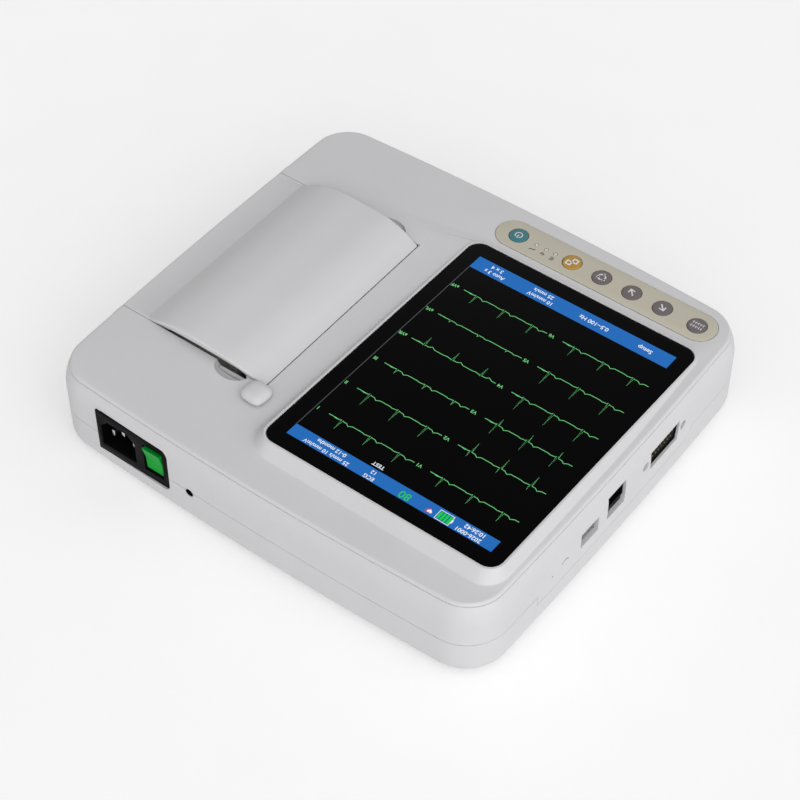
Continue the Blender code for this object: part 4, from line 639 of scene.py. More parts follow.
FEET = ((-108.0, -82.0), (-108.0, 82.0), (108.0, -82.0), (108.0, 82.0))


def dense(outline, step):
    """The same closed outline with no side longer than a step."""
    points = []
    for index, (x, y) in enumerate(outline):
        next_x, next_y = outline[(index + 1) % len(outline)]
        parts = max(1, math.ceil(math.hypot(next_x - x, next_y - y) / step))
        points.extend((x + (next_x - x) * i / parts, y + (next_y - y) * i / parts) for i in range(parts))
    return points


def case_ring(offset, z):
    """The case's plan outline, its sides bowed, moved outwards by an offset."""
    s = sizes()
    half_x = s.half_x + offset
    half_y = s.half_y + offset
    plain = rounded(-s.half_x, s.half_x, -s.half_y, s.half_y, s.corner, 14)
    centre = (s.half_x - s.corner, s.half_y - s.corner)
    share = (s.corner + offset) / s.corner
    ring = []
    for x, y in dense(plain, 9.0 * MM):
        a = math.copysign(centre[0] + (abs(x) - centre[0]) * share, x) if abs(x) > centre[0] else x
        b = math.copysign(centre[1] + (abs(y) - centre[1]) * share, y) if abs(y) > centre[1] else y
        u = a / half_x
        v = b / half_y
        ring.append((a + s.bow_x * u * (1.0 - v * v), b + s.bow_y * v * (1.0 - u * u), z))
    return ring


def bulge_at(share):
    """How far the wall stands out at a share of the height from the bulge to the crease."""
    return BULGE - (BULGE + CREASE_INSET) * share ** 2


def upper_section():
    """(offset, height) pairs up the outer wall: bulge, crease groove and the round into the top plate."""
    top = sizes().top_z
    section = [(BULGE, SHELL_FOOT_Z), (BULGE, BULGE_TOP_Z)]
    for step in range(1, WALL_STEPS + 1):
        share = GROOVE_SHARE * step / WALL_STEPS
        section.append((bulge_at(share), BULGE_TOP_Z + (CREASE_Z - BULGE_TOP_Z) * share))
    section += [(-GROOVE_DEPTH, z) for z in GROOVE_Z]
    for step in range(ROUND_STEPS + 1):
        angle = ROUND_START + (QUARTER - ROUND_START) * step / ROUND_STEPS
        inset = CREASE_INSET + (TOP_INSET - CREASE_INSET) * (1.0 - math.cos(angle))
        section.append((-inset, CREASE_Z + (top - CREASE_Z) * math.sin(angle)))
    return section


def plain_section(drop):
    """The same wall without its groove, for the inside of the shell."""
    section = [(BULGE, SHELL_FOOT_Z), (BULGE, BULGE_TOP_Z), SHOULDER, (-TOP_INSET, sizes().top_z)]
    return [(offset, z - drop) for offset, z in section]


def lower_section():
    section = [
        ((BULGE + TOP_INSET) * sine - TOP_INSET, BASE_Z + BASE_ROUND * (1.0 - cosine))
        for sine, cosine in quarter(10)
    ]
    return [*section, (BULGE, sizes().seam_z + OVERRUN)]


def case_loft(section, inset=0.0, lift=0.0):
    return loft([case_ring(offset - inset, z + lift) for offset, z in section])


def parting(grow, seam, far_z):
    """What lies past the parting line, which dips under the sockets on the left wall."""
    s = sizes()
    far = s.half_y + 12.0 * MM
    side = s.half_x + 10.0 * MM
    low = TONGUE_Z - grow
    radius = TONGUE_RADIUS + grow
    limit = math.acos((low + radius - seam) / radius)
    line = [(far, seam), (TONGUE_REAR_Y + grow, seam), (TONGUE_REAR_Y + grow, low)]
    for step in range(13):
        angle = limit * step / 12
        line.append((TONGUE_FRONT_Y - radius * math.sin(angle), low + radius - radius * math.cos(angle)))
    line += [(-far, seam), (-far, far_z), (far, far_z)]
    inner = TONGUE_DEPTH - side
    ends = sorted((seam, far_z))
    return prism(line, "X", -side, inner), block((inner - s.gap, -far, ends[0]), (side, far, ends[1]))


def glass_height(y):
    s = sizes()
    return s.glass_z + (y - s.glass_y) * math.tan(s.glass_tilt)


def on_glass(x, y, depth):
    """A point of the glass's own plane, from its centre, at a depth under its face."""
    s = sizes()
    turn = Matrix.Rotation(s.glass_tilt, 3, "X")
    return tuple(Vector((s.glass_x, s.glass_y, s.glass_z)) + turn @ Vector((x, y, -depth)))


def tilted(width, depth_y, radius, top, bottom, steps=8):
    flat = rounded(-0.5 * width, 0.5 * width, -0.5 * depth_y, 0.5 * depth_y, radius, steps)
    return loft([[on_glass(x, y, depth) for x, y in flat] for depth in (bottom, top)])


def bank(share, softness, tail):
    """Height share of a bank whose foot is drawn out by a soft concave fillet."""
    def soft(level):
        return 0.5 * (level + math.sqrt(level * level + softness * softness))
    return max((soft(1.0 - share) - soft(1.0 - tail)) / (soft(1.0) - soft(1.0 - tail)), 0.0)


def platform():
    """The raised bank round the glass, steep beside the printer and running out in a broad fillet there."""
    s = sizes()
    left = s.glass_x - 0.5 * s.glass_width - GLASS_RIM
    right = s.glass_x + 0.5 * s.glass_width + GLASS_RIM
    front = s.glass_y - 0.5 * s.glass_length - GLASS_RIM
    rear = s.glass_y + 0.5 * s.glass_length + GLASS_RIM
    radius = s.glass_corner + GLASS_RIM
    edge = dense(rounded(left, right, front, rear, radius, 12), 4.0 * MM)
    rings = [[] for _ in range(BANK_LEVELS + 1)]
    for x, y in edge:
        inner_x = min(max(x, left + radius), right - radius)
        inner_y = min(max(y, front + radius), rear - radius)
        normal = Vector((x - inner_x, y - inner_y))
        if normal.length < 0.5 * radius:
            beside = abs(x - inner_x) > abs(y - inner_y)
            normal = Vector((x - inner_x, 0.0)) if beside else Vector((0.0, y - inner_y))
        normal.normalize()
        rise = max(glass_height(y) - s.top_z, 0.1 * MM)
        weights = [max(part, 0.0) ** 2 for part in (normal.x, -normal.x, normal.y, -normal.y)]
        runs = (0.85 * rise, min(3.5 * MM, 1.4 * rise), 0.88 * rise, 0.3 * MM)
        tails = (9.0 * MM, 0.5 * MM, 0.5 * MM, 0.3 * MM)
        run = sum(w * r for w, r in zip(weights, runs))
        tail = sum(w * r for w, r in zip(weights, tails))
        softness = 0.05 + 0.2 * weights[0]
        for level in range(BANK_LEVELS):
            reach = (run + tail) * (level / (BANK_LEVELS - 1)) ** (1.0 + 0.5 * weights[0])
            height = rise * bank(reach / run, softness, (run + tail) / run)
            rings[level].append((x + normal.x * reach, y + normal.y * reach, s.top_z + height - 0.01 * MM))
        reach = run + tail
        rings[-1].append((x + normal.x * reach, y + normal.y * reach, s.top_z - 1.2 * MM))
    return loft(rings)


def glass_cuts():
    s = sizes()
    seat = GLASS_THICKNESS + s.gap
    return cuts(
        tilted(s.glass_width + 2 * s.gap, s.glass_length + 2 * s.gap, s.glass_corner, -OVERRUN, seat),
        tilted(*WINDOW, s.gap, 0.0, WINDOW_DEPTH, 2),
        tilted(*UNDER_WINDOW, s.gap, seat + WINDOW_WALL, WINDOW_DEPTH, 2),
    )


def strip_outline(grow):
    s = sizes()
    half = 0.5 * s.strip_length + grow
    width = 0.5 * s.strip_width + grow
    sides = (s.strip_x - half, s.strip_x + half, s.strip_y - width, s.strip_y + width)
    return rounded(*sides, width - 0.01 * MM, 16)


def key_holes():
    s = sizes()
    low = s.top_z - 8.0 * MM
    high = s.top_z + OVERRUN
    holes = [rod("Z", x * MM, s.strip_y, s.key_radius + s.gap, low, high) for _, x, _ in KEYS]
    return combine(*holes, *[rod("Z", x * MM, s.strip_y, 1.2 * MM, low, high, 20) for _, x in LAMPS])


def hinge_reach():
    s = sizes()
    return s.half_x + s.bow_x - s.hinge_x + bulge_at((s.hinge_z - BULGE_TOP_Z) / (CREASE_Z - BULGE_TOP_Z))


def door_opening():
    s = sizes()
    reach = hinge_reach() + s.gap
    high = s.top_z + 14.0 * MM
    side = s.half_x + 9.0 * MM
    turns = [math.pi * step / 32 for step in range(33)]
    arc = [(s.hinge_x - reach * math.cos(angle), s.hinge_z - reach * math.sin(angle)) for angle in turns]
    outline = [(s.door_slot_x, high), (s.door_slot_x, s.hinge_z), *arc, (side, s.hinge_z), (side, high)]
    return prism(outline, "Y", s.door_front_y, s.door_rear_y)


def lug_places():
    s = sizes()
    return (
        (s.door_rear_y + s.gap, s.door_rear_y + s.gap + LUG_LENGTH),
        (s.door_front_y - s.gap - LUG_LENGTH, s.door_front_y - s.gap),
    )


def scoop_hollow(y):
    """A finger scoop: half an ellipsoid sunk into the top plate."""
    top = sizes().top_z
    half_x, half_y, depth = SCOOP_HALF
    levels = [(top + OVERRUN, 1.0)] + [(top - depth * sine, cosine) for sine, cosine in quarter(14)[:-1]]
    turns = [i * math.tau / 64 for i in range(64)]
    return loft([
        [(SCOOP_X + half_x * share * math.cos(a), y + half_y * share * math.sin(a), height) for a in turns]
        for height, share in levels
    ])


def scoop_bowls():
    s = sizes()
    low = s.top_z - BOWL_DEPTH
    top = s.top_z - 0.5 * s.wall
    left, right = BOWL_X
    near, far = BOWL_Y
    return combine(
        block((left, s.door_rear_y + near, low), (right, s.door_rear_y + far, top)),
        block((left, s.door_front_y - far, low), (right, s.door_front_y - near, top)),
    )


def box_of(node, grow=0.0):
    low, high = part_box(node)
    return tuple(v - grow for v in low), tuple(v + grow for v in high)


def mouth_outline(grow):
    """The patient connector's slanted mouth in (y, z), wider at its top."""
    half = 12.3 * MM + grow
    tall = 5.1 * MM + grow
    return [
        (MOUTH_Y - 0.92 * half, MOUTH_Z - tall), (MOUTH_Y + 0.92 * half, MOUTH_Z - tall),
        (MOUTH_Y + half, MOUTH_Z + tall), (MOUTH_Y - half, MOUTH_Z + tall),
    ]


def wall_holes():
    """The left wall's holes for the sockets, the patient connector and its jack screws."""
    s = sizes()
    holes = []
    for node in ("lan_socket", "usb_socket"):
        low, high = box_of(node, s.gap)
        holes.append(block((low[0] - OVERRUN, *low[1:]), (high[0] + OVERRUN, *high[1:])))
    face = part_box("ecg_connector")[0].x
    ends = (face - OVERRUN, face + 2 * s.wall)
    holes.append(prism(mouth_outline(MOUTH_RIM + s.gap), "X", *ends))
    holes += [rod("X", MOUTH_Y + reach, MOUTH_Z, JACK_HOLE, *ends, 32) for reach in (-JACK_REACH, JACK_REACH)]
    return combine(*holes)


def mains_outline(grow):
    """The mains module's rounded face in (x, z), grown on all sides."""
    low, high = box_of("mains_inlet", grow)
    return rounded(low[0], high[0], low[2], high[2], MAINS_CORNER + grow, 8)


def mains_holes():
    low, high = box_of("mains_inlet")
    earth_low, earth_high = box_of("earth_terminal")
    x, _, z = middle("earth_terminal")
    return combine(
        prism(mains_outline(sizes().gap), "Y", low[1] - OVERRUN, high[1] + 2 * OVERRUN),
        rod("Y", x, z, EARTH_HOLE, earth_low[1], earth_high[1] + 2 * OVERRUN, 32),
    )


def bosses(low, high, radius=BOSS):
    return combine(*[rod("Z", x * MM, y * MM, radius, low, high, 24) for x, y in SCREWS])


class ECG_OT_upper_case(bpy.types.Operator):
    """Moulds the upper shell: bowed walls, screen bank, scoops and all its openings"""

    bl_idname = "ecg.upper_case"
    bl_label = "Upper case"

    def execute(self, context):
        s = sizes()
        shell = make("upper_case", case_loft(upper_section()), finishes()["case"])
        over = s.top_z + OVERRUN
        under = s.top_z - 0.5 * s.wall
        lugs = [
            block((s.hinge_x - LUG, start, s.hinge_z - LUG), (s.hinge_x + LUG, end, under))
            for start, end in lug_places()
        ]
        (_, rear), (front, _) = lug_places()
        stem_x, stem_y, _ = middle("latch_button")
        hook_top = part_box("latch_hook")[1].z
        steps = cuts(
            case_loft(plain_section(s.wall), s.wall), *parting(0.0, s.seam_z + 0.5 * s.gap, 0.0)
        ) + joins(
            platform(), combine(*lugs), scoop_bowls(), bosses(s.seam_z + s.gap, under)
        ) + glass_cuts() + cuts(
            prism(strip_outline(s.gap), "Z", s.top_z - STRIP_DEPTH, over),
            key_holes(),
            door_opening(),
            scoop_hollow(s.door_rear_y),
            scoop_hollow(s.door_front_y),
            rod("Y", s.hinge_x, s.hinge_z, PIN_HOLE, front - s.gap, rear + s.gap, 24),
            block(
                (stem_x - STEM_HOLE[0], stem_y - STEM_HOLE[1], hook_top + s.gap),
                (stem_x + STEM_HOLE[0], stem_y + STEM_HOLE[1], over),
            ),
            wall_holes(),
            mains_holes(),
        )
        stand_for(carve(shell, steps, CASE_CREASE), "case", "case_plastic", "upper_shell")
        return {"FINISHED"}


class ECG_OT_lower_case(bpy.types.Operator):
    """Moulds the lower shell with its foot recesses, screw wells and battery bay"""

    bl_idname = "ecg.lower_case"
    bl_label = "Lower case"

    def execute(self, context):
        s = sizes()
        shell = make("lower_case", case_loft(lower_section()), finishes()["case"])
        below = BASE_Z - OVERRUN
        low, high = box_of("battery_cover", s.gap)
        recess = rounded(low[0], high[0], low[1], high[1], COVER_CORNER)
        pack_low, pack_high = box_of("battery_pack", s.gap)
        steps = cuts(
            case_loft(lower_section(), s.wall, s.wall), *parting(s.gap, s.seam_z - 0.5 * s.gap, s.top_z)
        ) + joins(
            bosses(BASE_Z + 0.5 * s.wall, s.seam_z - s.gap)
        ) + cuts(
            bosses(below, s.seam_z + OVERRUN, SCREW_HOLE),
            bosses(below, BASE_Z + HEAD_DEPTH, HEAD_HOLE),
            combine(*[rod("Z", x * MM, y * MM, FOOT_SEAT, below, BASE_Z + FOOT_DEPTH) for x, y in FEET]),
            prism(recess, "Z", below, high[2]),
            block((*pack_low[:2], BASE_Z), (*pack_high[:2], BASE_Z + PACK_RECESS)),
            mains_holes(),
        )
        stand_for(carve(shell, steps, CASE_CREASE), "case", "case_plastic", "lower_shell")
        return {"FINISHED"}


# Screen

BEAT = (
    (-6.6, 0.0), (-5.4, 0.5), (-4.6, 1.0), (-3.8, 0.5), (-2.8, 0.0), (-0.9, 0.0), (-0.5, -0.06), (0.0, 1.0),
    (0.45, -0.09), (0.9, 0.0), (2.4, 0.15), (3.4, 0.3), (4.6, 0.1), (5.4, 0.0),
)
TRACE_ROWS = (58.2, 36.0, 13.6, -8.9, -31.4, -54.0)
LEADS = (
    (-52.4, -61.4, -10.0, (6.2, (3.6, -7.0), (7.0, -4.8), 9.0, 9.0, 6.5), "V1 V2 V3 V4 V5 V6"),
    (8.6, -0.4, 51.6, (6.5, 8.3, 3.2, -6.3, 1.5, 6.5), "I II III aVR aVL aVF"),
)
BEAT_PITCH = 17.55
WORDS = (
    ("10:26:42", -48.5, 75.2, 3.5),
    ("2026-0001", -47.0, 79.0, 3.4),
    ("12", 10.8, 75.4, 3.2),
    ("ECG", 11.0, 79.2, 3.2),
    ("0-12 months", 36.5, 75.2, 3.4),
    ("25 mm/s 10 mm/mV", 37.0, 79.0, 3.3),
    ("TEST", 11.8, 70.4, 3.2),
    ("Setup", -45.8, -75.2, 3.7),
    ("0.5~100 Hz", -15.0, -75.2, 3.7),
    ("10 mm/mV", 17.0, -73.2, 3.5),
    ("25 mm/s", 17.5, -77.3, 3.5),
    ("Auto 3 s", 46.0, -73.2, 3.5),
    ("3 x 4", 46.8, -77.3, 3.5),
)
INK_LIFT = 0.03 * MM
INK_DEPTH = 0.05 * MM
MIDDLE_LIFT = 0.05 * MM
TOP_LIFT = 0.07 * MM
GLASS_EDGE = ((0.0, GLASS_THICKNESS), (0.0, 0.35 * MM), (0.1 * MM, 0.1 * MM), (0.35 * MM, 0.0))
BARS = ((-61.5, 60.0, 73.1, 80.9), (-61.5, 60.0, -80.1, -70.4))
BAR_EDGE = (59.7, 60.15, -70.2, 73.0)
RATE = (("80", -9.6, 77.8, 6.4),)
BATTERY = (-36.4, -28.2, 74.2, 80.5)
BATTERY_LINE = 0.35
CELLS = 4
CELL_START = -35.8
CELL_PITCH = 1.85
CELL_WIDTH = 1.3
CELL_RISE = (75.0, 79.7)
BATTERY_TIP = (-37.0, -36.4, 76.2, 78.5)
BATTERY_BACK = (-36.2, -28.4, 74.5, 80.2)
# (x, size) of the heart and of the light spot on it
HEART = (-24.0, 0.115)
HEART_LIGHT = (-24.5, 0.085)
HEART_Y = 78.4
HEART_SIDES = 40
DOT_SIDES = 16
BEATS = 3
TRACE_BREAK = (7.0, 4.8)
TRACE_WIDTH = 0.34 * MM
RIBBON_HEIGHT = 0.08 * MM
RIBBON_LIFT = 0.02 * MM


def drawn(outline, lift=INK_LIFT):
    """A thin closed patch on the glass from its outline in mm from the glass's centre."""
    return loft([[on_glass(x * MM, y * MM, depth) for x, y in outline] for depth in (INK_DEPTH, -lift)])


def box_outline(left, right, low, high):
    return [(left, low), (right, low), (right, high), (left, high)]


def frame_patch(left, right, low, high, width, lift):
    return combine(
        drawn(box_outline(left, right, low, low + width), lift),
        drawn(box_outline(left, right, high - width, high), lift),
        drawn(box_outline(left, left + width, low + width, high - width), lift),
        drawn(box_outline(right - width, right, low + width, high - width), lift),
    )


def ring_outline(x, y, radius):
    turns = [math.tau * i / DOT_SIDES for i in range(DOT_SIDES)]
    return [(x + radius * math.cos(a), y + radius * math.sin(a)) for a in turns]


def trace_points(first, left, right, size):
    """One lead's trace: three beats on a level line."""
    high, low = size if isinstance(size, tuple) else (size, 0.0)
    wave = math.copysign(1.2, high) * min(1.0, abs(high) / 3.0)
    points = [(left, 0.0)]
    for beat in range(BEATS):
        centre = first + beat * BEAT_PITCH
        for x, share in BEAT:
            if x == -0.5 and low:
                height = low
            else:
                height = (high if abs(x) < 1.0 else wave) * share
            points.append((centre + x, height))
    points.append((right - TRACE_BREAK[0], 0.0))
    return points, [(right - TRACE_BREAK[1], 0.0), (right, 0.0)]


def ribbons(tree, entry):
    """Geometry nodes that sweep a thin flat band along every drawn line."""
    curve = add(tree, "GeometryNodeMeshToCurve", {"Mesh": entry.outputs["Geometry"]})
    upright = add(tree, "GeometryNodeSetCurveNormal", {"Curve": curve.outputs["Curve"]}, mode="Z_UP")
    profile = add(tree, "GeometryNodeCurvePrimitiveQuadrilateral", {
        "Width": entry.outputs["Width"], "Height": RIBBON_HEIGHT,
    })
    swept = add(tree, "GeometryNodeCurveToMesh", {
        "Curve": upright.outputs["Curve"], "Profile Curve": profile.outputs["Curve"], "Fill Caps": True,
    })
    return swept.outputs["Mesh"]


def lines_on_glass(name, lines, width, finish):
    points = []
    edges = []
    for line in lines:
        start_index = len(points)
        points.extend(on_glass(x * MM, y * MM, -RIBBON_LIFT) for x, y in line)
        edges.extend((start_index + i, start_index + i + 1) for i in range(len(line) - 1))
    return grown(name, points, edges, ribbons, ("Width", width), finish)


def lettering(name, words, finish, lay):
    """Words made mesh, each laid by a function that takes a flat point in mm to its place."""
    shapes = []
    for text, x, y, size in words:
        curve = bpy.data.curves.new("word", "FONT")
        curve.body = text
        curve.size = size
        curve.align_x = "CENTER"
        curve.align_y = "CENTER"
        curve.resolution_u = 3
        curve.extrude = 0.5
        curve.offset = 0.016 * size
        item = link("word", curve)
        graph = bpy.context.evaluated_depsgraph_get()
        mesh = bpy.data.meshes.new_from_object(item.evaluated_get(graph))
        points = [lay(x + v.co.x, y + v.co.y, v.co.z > 0.0) for v in mesh.vertices]
        shapes.append(welded(points, [list(face.vertices) for face in mesh.polygons]))
        bpy.data.objects.remove(item)
    return make(name, combine(*shapes), finish)


def heart(x, size, lift):
    """A heart on the display's upper bar, by its well-known curve."""
    outline = []
    for i in range(HEART_SIDES):
        a = i * math.tau / HEART_SIDES
        height = 13 * math.cos(a) - 5 * math.cos(2 * a) - 2 * math.cos(3 * a) - math.cos(4 * a)
        outline.append((x + size * 16.0 * math.sin(a) ** 3, HEART_Y + size * height))
    return drawn(outline, lift)


def lay_on_glass(x, y, upper):
    return on_glass(x * MM, y * MM, -INK_LIFT - 0.01 * MM if upper else INK_DEPTH)


class ECG_OT_screen(bpy.types.Operator):
    """Lays the cover glass and draws the live display on it: bars, traces, signs and figures"""

    bl_idname = "ecg.screen"
    bl_label = "Screen"

    def execute(self, context):
        s = sizes()
        f = finishes()
        rings = []
        for inset, depth in GLASS_EDGE:
            half_x = 0.5 * s.glass_width - inset
            half_y = 0.5 * s.glass_length - inset
            flat = rounded(-half_x, half_x, -half_y, half_y, s.glass_corner - inset, 12)
            rings.append([on_glass(x, y, depth) for x, y in flat])
        stand_for(make("cover_glass", loft(rings), f["glass"]), "case", "screen_glass", "screen_glass")
        mark("display_bars", combine(*[drawn(box_outline(*bar)) for bar in BARS]), "bar")
        mark("display_edge", drawn(box_outline(*BAR_EDGE)), "edge")
        lines = []
        labels = []
        for first, left, right, heights, names in LEADS:
            for base, height, name in zip(TRACE_ROWS, heights, names.split()):
                for line in trace_points(first, left, right, height):
                    lines.append([(x, base + y) for x, y in line])
                labels.append((name, right + (6.7 if len(name) < 3 else 5.6), base, 3.0))
        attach(lines_on_glass("display_traces", lines, TRACE_WIDTH, f["trace"]), "case")
        for name, words, finish in (
            ("display_leads", labels, "trace"),
            ("display_words", WORDS, "text"),
            ("display_rate", RATE, "green"),
        ):
            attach(lettering(name, words, f[finish], lay_on_glass), "case")
        starts = [CELL_START + CELL_PITCH * i for i in range(CELLS)]
        cells = [drawn(box_outline(x, x + CELL_WIDTH, *CELL_RISE), TOP_LIFT) for x in starts]
        mark("display_charge", combine(*cells), "charge")
        mark("display_charge_back", drawn(box_outline(*BATTERY_BACK)), "shade")
        cell_case = frame_patch(*BATTERY, BATTERY_LINE, MIDDLE_LIFT)
        cell_tip = drawn(box_outline(*BATTERY_TIP), MIDDLE_LIFT)
        mark("display_heart", heart(*HEART, MIDDLE_LIFT), "red")
        mark("display_heart_light", heart(*HEART_LIGHT, TOP_LIFT), "text")
        mark("display_battery", combine(cell_case, cell_tip), "text")
        return {"FINISHED"}


# Key strip, keys and lamps

KEY_STEM = 2.5 * MM
KEY_SKIRT_Z = 46.2 * MM
KEY_SKIRT = 0.8 * MM
SKIRT_DROP = 2.9 * MM
KEY_EDGE = 0.75 * MM
KEY_TAPER = 0.85 * MM
KEY_CREASE = 50.0
LAMP_RADIUS = 0.9 * MM
LAMP_DOME = 0.3 * MM
POWER_ARC = (1.7, 0.55, 2.1, 5.2)
PAGE_SHIFTS = (-1.25, 1.35)
PAGE = (1.75, 0.6)
PAGE_CENTRE = (0.85, 0.3)
PAGE_LIFT = 0.06 * MM
SIGN_TURNS = (0.2, 2.3, 4.4)
PRINT_ROWS = ((1.35, (0.55, 0.7, 0.45, 0.7, 0.55)), (-1.35, (0.7, 0.5, 0.7, 0.55, 0.5)))
PRINT_LINE = 0.35
STRIP_DIALS = ((-25.1, 0.9, 0.5), (-19.3, 0.65, 2.0))
STRIP_PLUG = (
    (-14.9, 3.2), (-13.6, 3.9), (-12.4, 3.9), (-11.2, 4.6), (-11.2, 5.3), (-12.6, 4.6), (-13.8, 4.6),
    (-14.9, 3.9),
)
ARROW = (
    (-0.38, -2.6), (0.38, -2.6), (0.38, 1.2), (1.6, -0.1), (2.1, 0.4), (0.0, 2.7), (-2.1, 0.4), (-1.6, -0.1),
    (-0.38, 1.2),
)
ARROW_TURNS = {"up_key": math.radians(-140.0), "down_key": math.radians(40.0)}


def square(x, y, half, corner):
    return rounded(x - half, x + half, y - half, y + half, corner, 4)


def patch(outline, height, lift=INK_LIFT):
    return loft([[(x * MM, y * MM, z) for x, y in outline] for z in (height - INK_DEPTH, height + lift)])


def arc_band(x, y, radius, width, start, turn, count=24):
    """An arc of a ring's band, from a start angle through a turn, as one outline."""
    angles = [start + turn * i / count for i in range(count + 1)]
    outer = [(x + (radius + width) * math.cos(a), y + (radius + width) * math.sin(a)) for a in angles]
    inner = [(x + radius * math.cos(a), y + radius * math.sin(a)) for a in reversed(angles)]
    return outer + inner


def turned_outline(outline, x, y, angle):
    cosine = math.cos(angle)
    sine = math.sin(angle)
    return [(x + a * cosine - b * sine, y + a * sine + b * cosine) for a, b in outline]


def key_signs(name, x, y, top):
    """The printed sign of a key, as patches on its crown."""
    if name == "power_key":
        stem = box_outline(x - 0.3, x + 0.3, y - 0.2, y + 2.5)
        return [patch(arc_band(x, y, *POWER_ARC), top), patch(stem, top)]
    if name == "mode_key":
        return [patch(square(x + shift, y + shift, *PAGE), top) for shift in PAGE_SHIFTS]
    if name == "feed_key":
        arcs = [patch(arc_band(x, y, 1.55, 0.85, start, 1.6), top) for start in SIGN_TURNS]
        tip = [(-1.0, 0.0), (1.1, -1.1), (1.1, 1.1)]
        return arcs + [
            patch(turned_outline(tip, x + 2.0 * math.cos(a), y + 2.0 * math.sin(a), a + 1.57), top)
            for a in SIGN_TURNS
        ]
    if name in ARROW_TURNS:
        return [patch(turned_outline(ARROW, x, y, ARROW_TURNS[name]), top)]
    marks = []
    for row, widths in PRINT_ROWS:
        left = x - 3.3
        for width in widths:
            line = left + PRINT_LINE
            marks.append(patch(box_outline(left, line, y + row - 0.9, y + row + 0.9), top))
            marks.append(patch(box_outline(line, line + width, y + row - 0.2, y + row + 0.2), top))
            left += width + 0.85
    return marks


class ECG_OT_keys(bpy.types.Operator):
    """Turns the six domed keys and prints their signs"""

    bl_idname = "ecg.keys"
    bl_label = "Keys"

    def execute(self, context):
        s = sizes()
        f = finishes()
        for name, x, shade in KEYS:
            low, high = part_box(name)
            top = high.z - 0.02 * MM
            radius = s.key_radius
            skirt_top = s.top_z - SKIRT_DROP
            profile = [(low.z, KEY_STEM), (KEY_SKIRT_Z, KEY_STEM), (KEY_SKIRT_Z, radius + KEY_SKIRT)]
            profile += [(skirt_top, radius + KEY_SKIRT), (skirt_top, radius)]
            profile += [
                (top - KEY_EDGE * (1.0 - sine), radius - KEY_TAPER * (1.0 - cosine))
                for sine, cosine in quarter(12)
            ]
            profile.append((top, 0.4 * (radius - MM)))
            key = make(name + "_cap", turned("Z", x * MM, s.strip_y, profile, 64), f[shade], KEY_CREASE)
            stand_for(key, name, "key_" + shade, name)
            y = s.strip_y / MM
            mark(name + "_sign", combine(*key_signs(name, x, y, top)), "mark", name)
            if name == "mode_key":
                holes = [
                    patch(square(x + shift, y + shift, *PAGE_CENTRE), top, PAGE_LIFT) for shift in PAGE_SHIFTS
                ]
                mark(name + "_sign_centres", combine(*holes), shade, name)
        return {"FINISHED"}


class ECG_OT_key_strip(bpy.types.Operator):
    """Lays the printed strip with its lamps and the small signs beside them"""

    bl_idname = "ecg.key_strip"
    bl_label = "Key strip"

    def execute(self, context):
        s = sizes()
        f = finishes()
        low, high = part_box("key_strip")
        shape = slab(lambda inset: strip_outline(-inset), "Z", low.z, high.z, 0.15 * MM, 3)
        strip = carve(make("strip_label", shape, f["strip"]), [("DIFFERENCE", key_holes())])
        stand_for(strip, "case", "strip_beige", "key_strip")
        keys_y = s.strip_y / MM
        signs = []
        for x, radius, first in STRIP_DIALS:
            signs.append(patch(arc_band(x, keys_y + 4.1, radius, 0.5, first, 5.2), high.z))
            signs.append(patch(ring_outline(x, keys_y + 4.1, 0.55 * radius), high.z))
        signs.append(patch([(x, y + keys_y) for x, y in STRIP_PLUG], high.z))
        mark("strip_signs", combine(*signs), "ink")
        for name, x in LAMPS:
            low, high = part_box(name)
            profile = [(low.z, LAMP_RADIUS), (high.z - LAMP_DOME, LAMP_RADIUS)]
            profile += [
                (high.z - LAMP_DOME * (1.0 - sine), LAMP_RADIUS * cosine + 0.02 * MM)
                for sine, cosine in quarter(6)[1:]
            ]
            lamp = make(name + "_lens", turned("Z", x * MM, s.strip_y, profile, 24), f["lamp"])
            stand_for(lamp, "case", "lamp_white", name)
        return {"FINISHED"}


# Printer door and latch

DOOR_WALL = 1.8 * MM
OVERHANG = 1.8 * MM
END_ROUND = 1.2 * MM
END_TUCK = 0.7 * MM
SLOT_LINE = 0.75 * MM
CORNER_STEP = 0.002 * MM
UNDERCUT_REACH = (0.12, 0.93)
UNDERCUT_DEPTH = 3.0 * MM
UNDERCUT_RISE = 3.3 * MM
UNDERCUT_LIP = 0.9 * MM
UNDERCUT_FOOT = 6.0 * MM
UNDERCUT_STEPS = 28
KNUCKLE = 4.0 * MM
KNUCKLE_LENGTH = 12.0 * MM
KNUCKLE_STARTS = (14.15 * MM, 2.15 * MM)
EAR_X = (38.5 * MM, 49.0 * MM)
EAR_Z = 41.0 * MM
EAR_LENGTHS = (6.0 * MM, 2.2 * MM)
NOTCH_X = 30.0 * MM
NOTCH_LENGTH = 3.5 * MM
ROLLER_END_WALL = 0.9 * MM
DOOR_CREASE = 30.0
BUTTON_INSET = 0.1 * MM
BUTTON_FOOT = 1.5 * MM
BUTTON_EDGE = 0.16
BUTTON_SIDES = 72
BUTTON_POWERS = (0.5, 0.74)
BUTTON_TURN = math.radians(-4.0)
BUTTON_CREASE = 45.0
STEM_HALF = (2.5 * MM, 3.0 * MM)
STEM_Z = 45.3 * MM
HUMP_SHARES = (
    (0.0, 0.0), (0.06, 0.21), (0.135, 0.49), (0.21, 0.69), (0.285, 0.83), (0.36, 0.89), (0.44, 0.93),
    (0.52, 0.975), (0.59, 1.0), (0.665, 0.975), (0.74, 0.89), (0.815, 0.75), (0.89, 0.5), (0.955, 0.2),
    (1.0, 0.0),
)


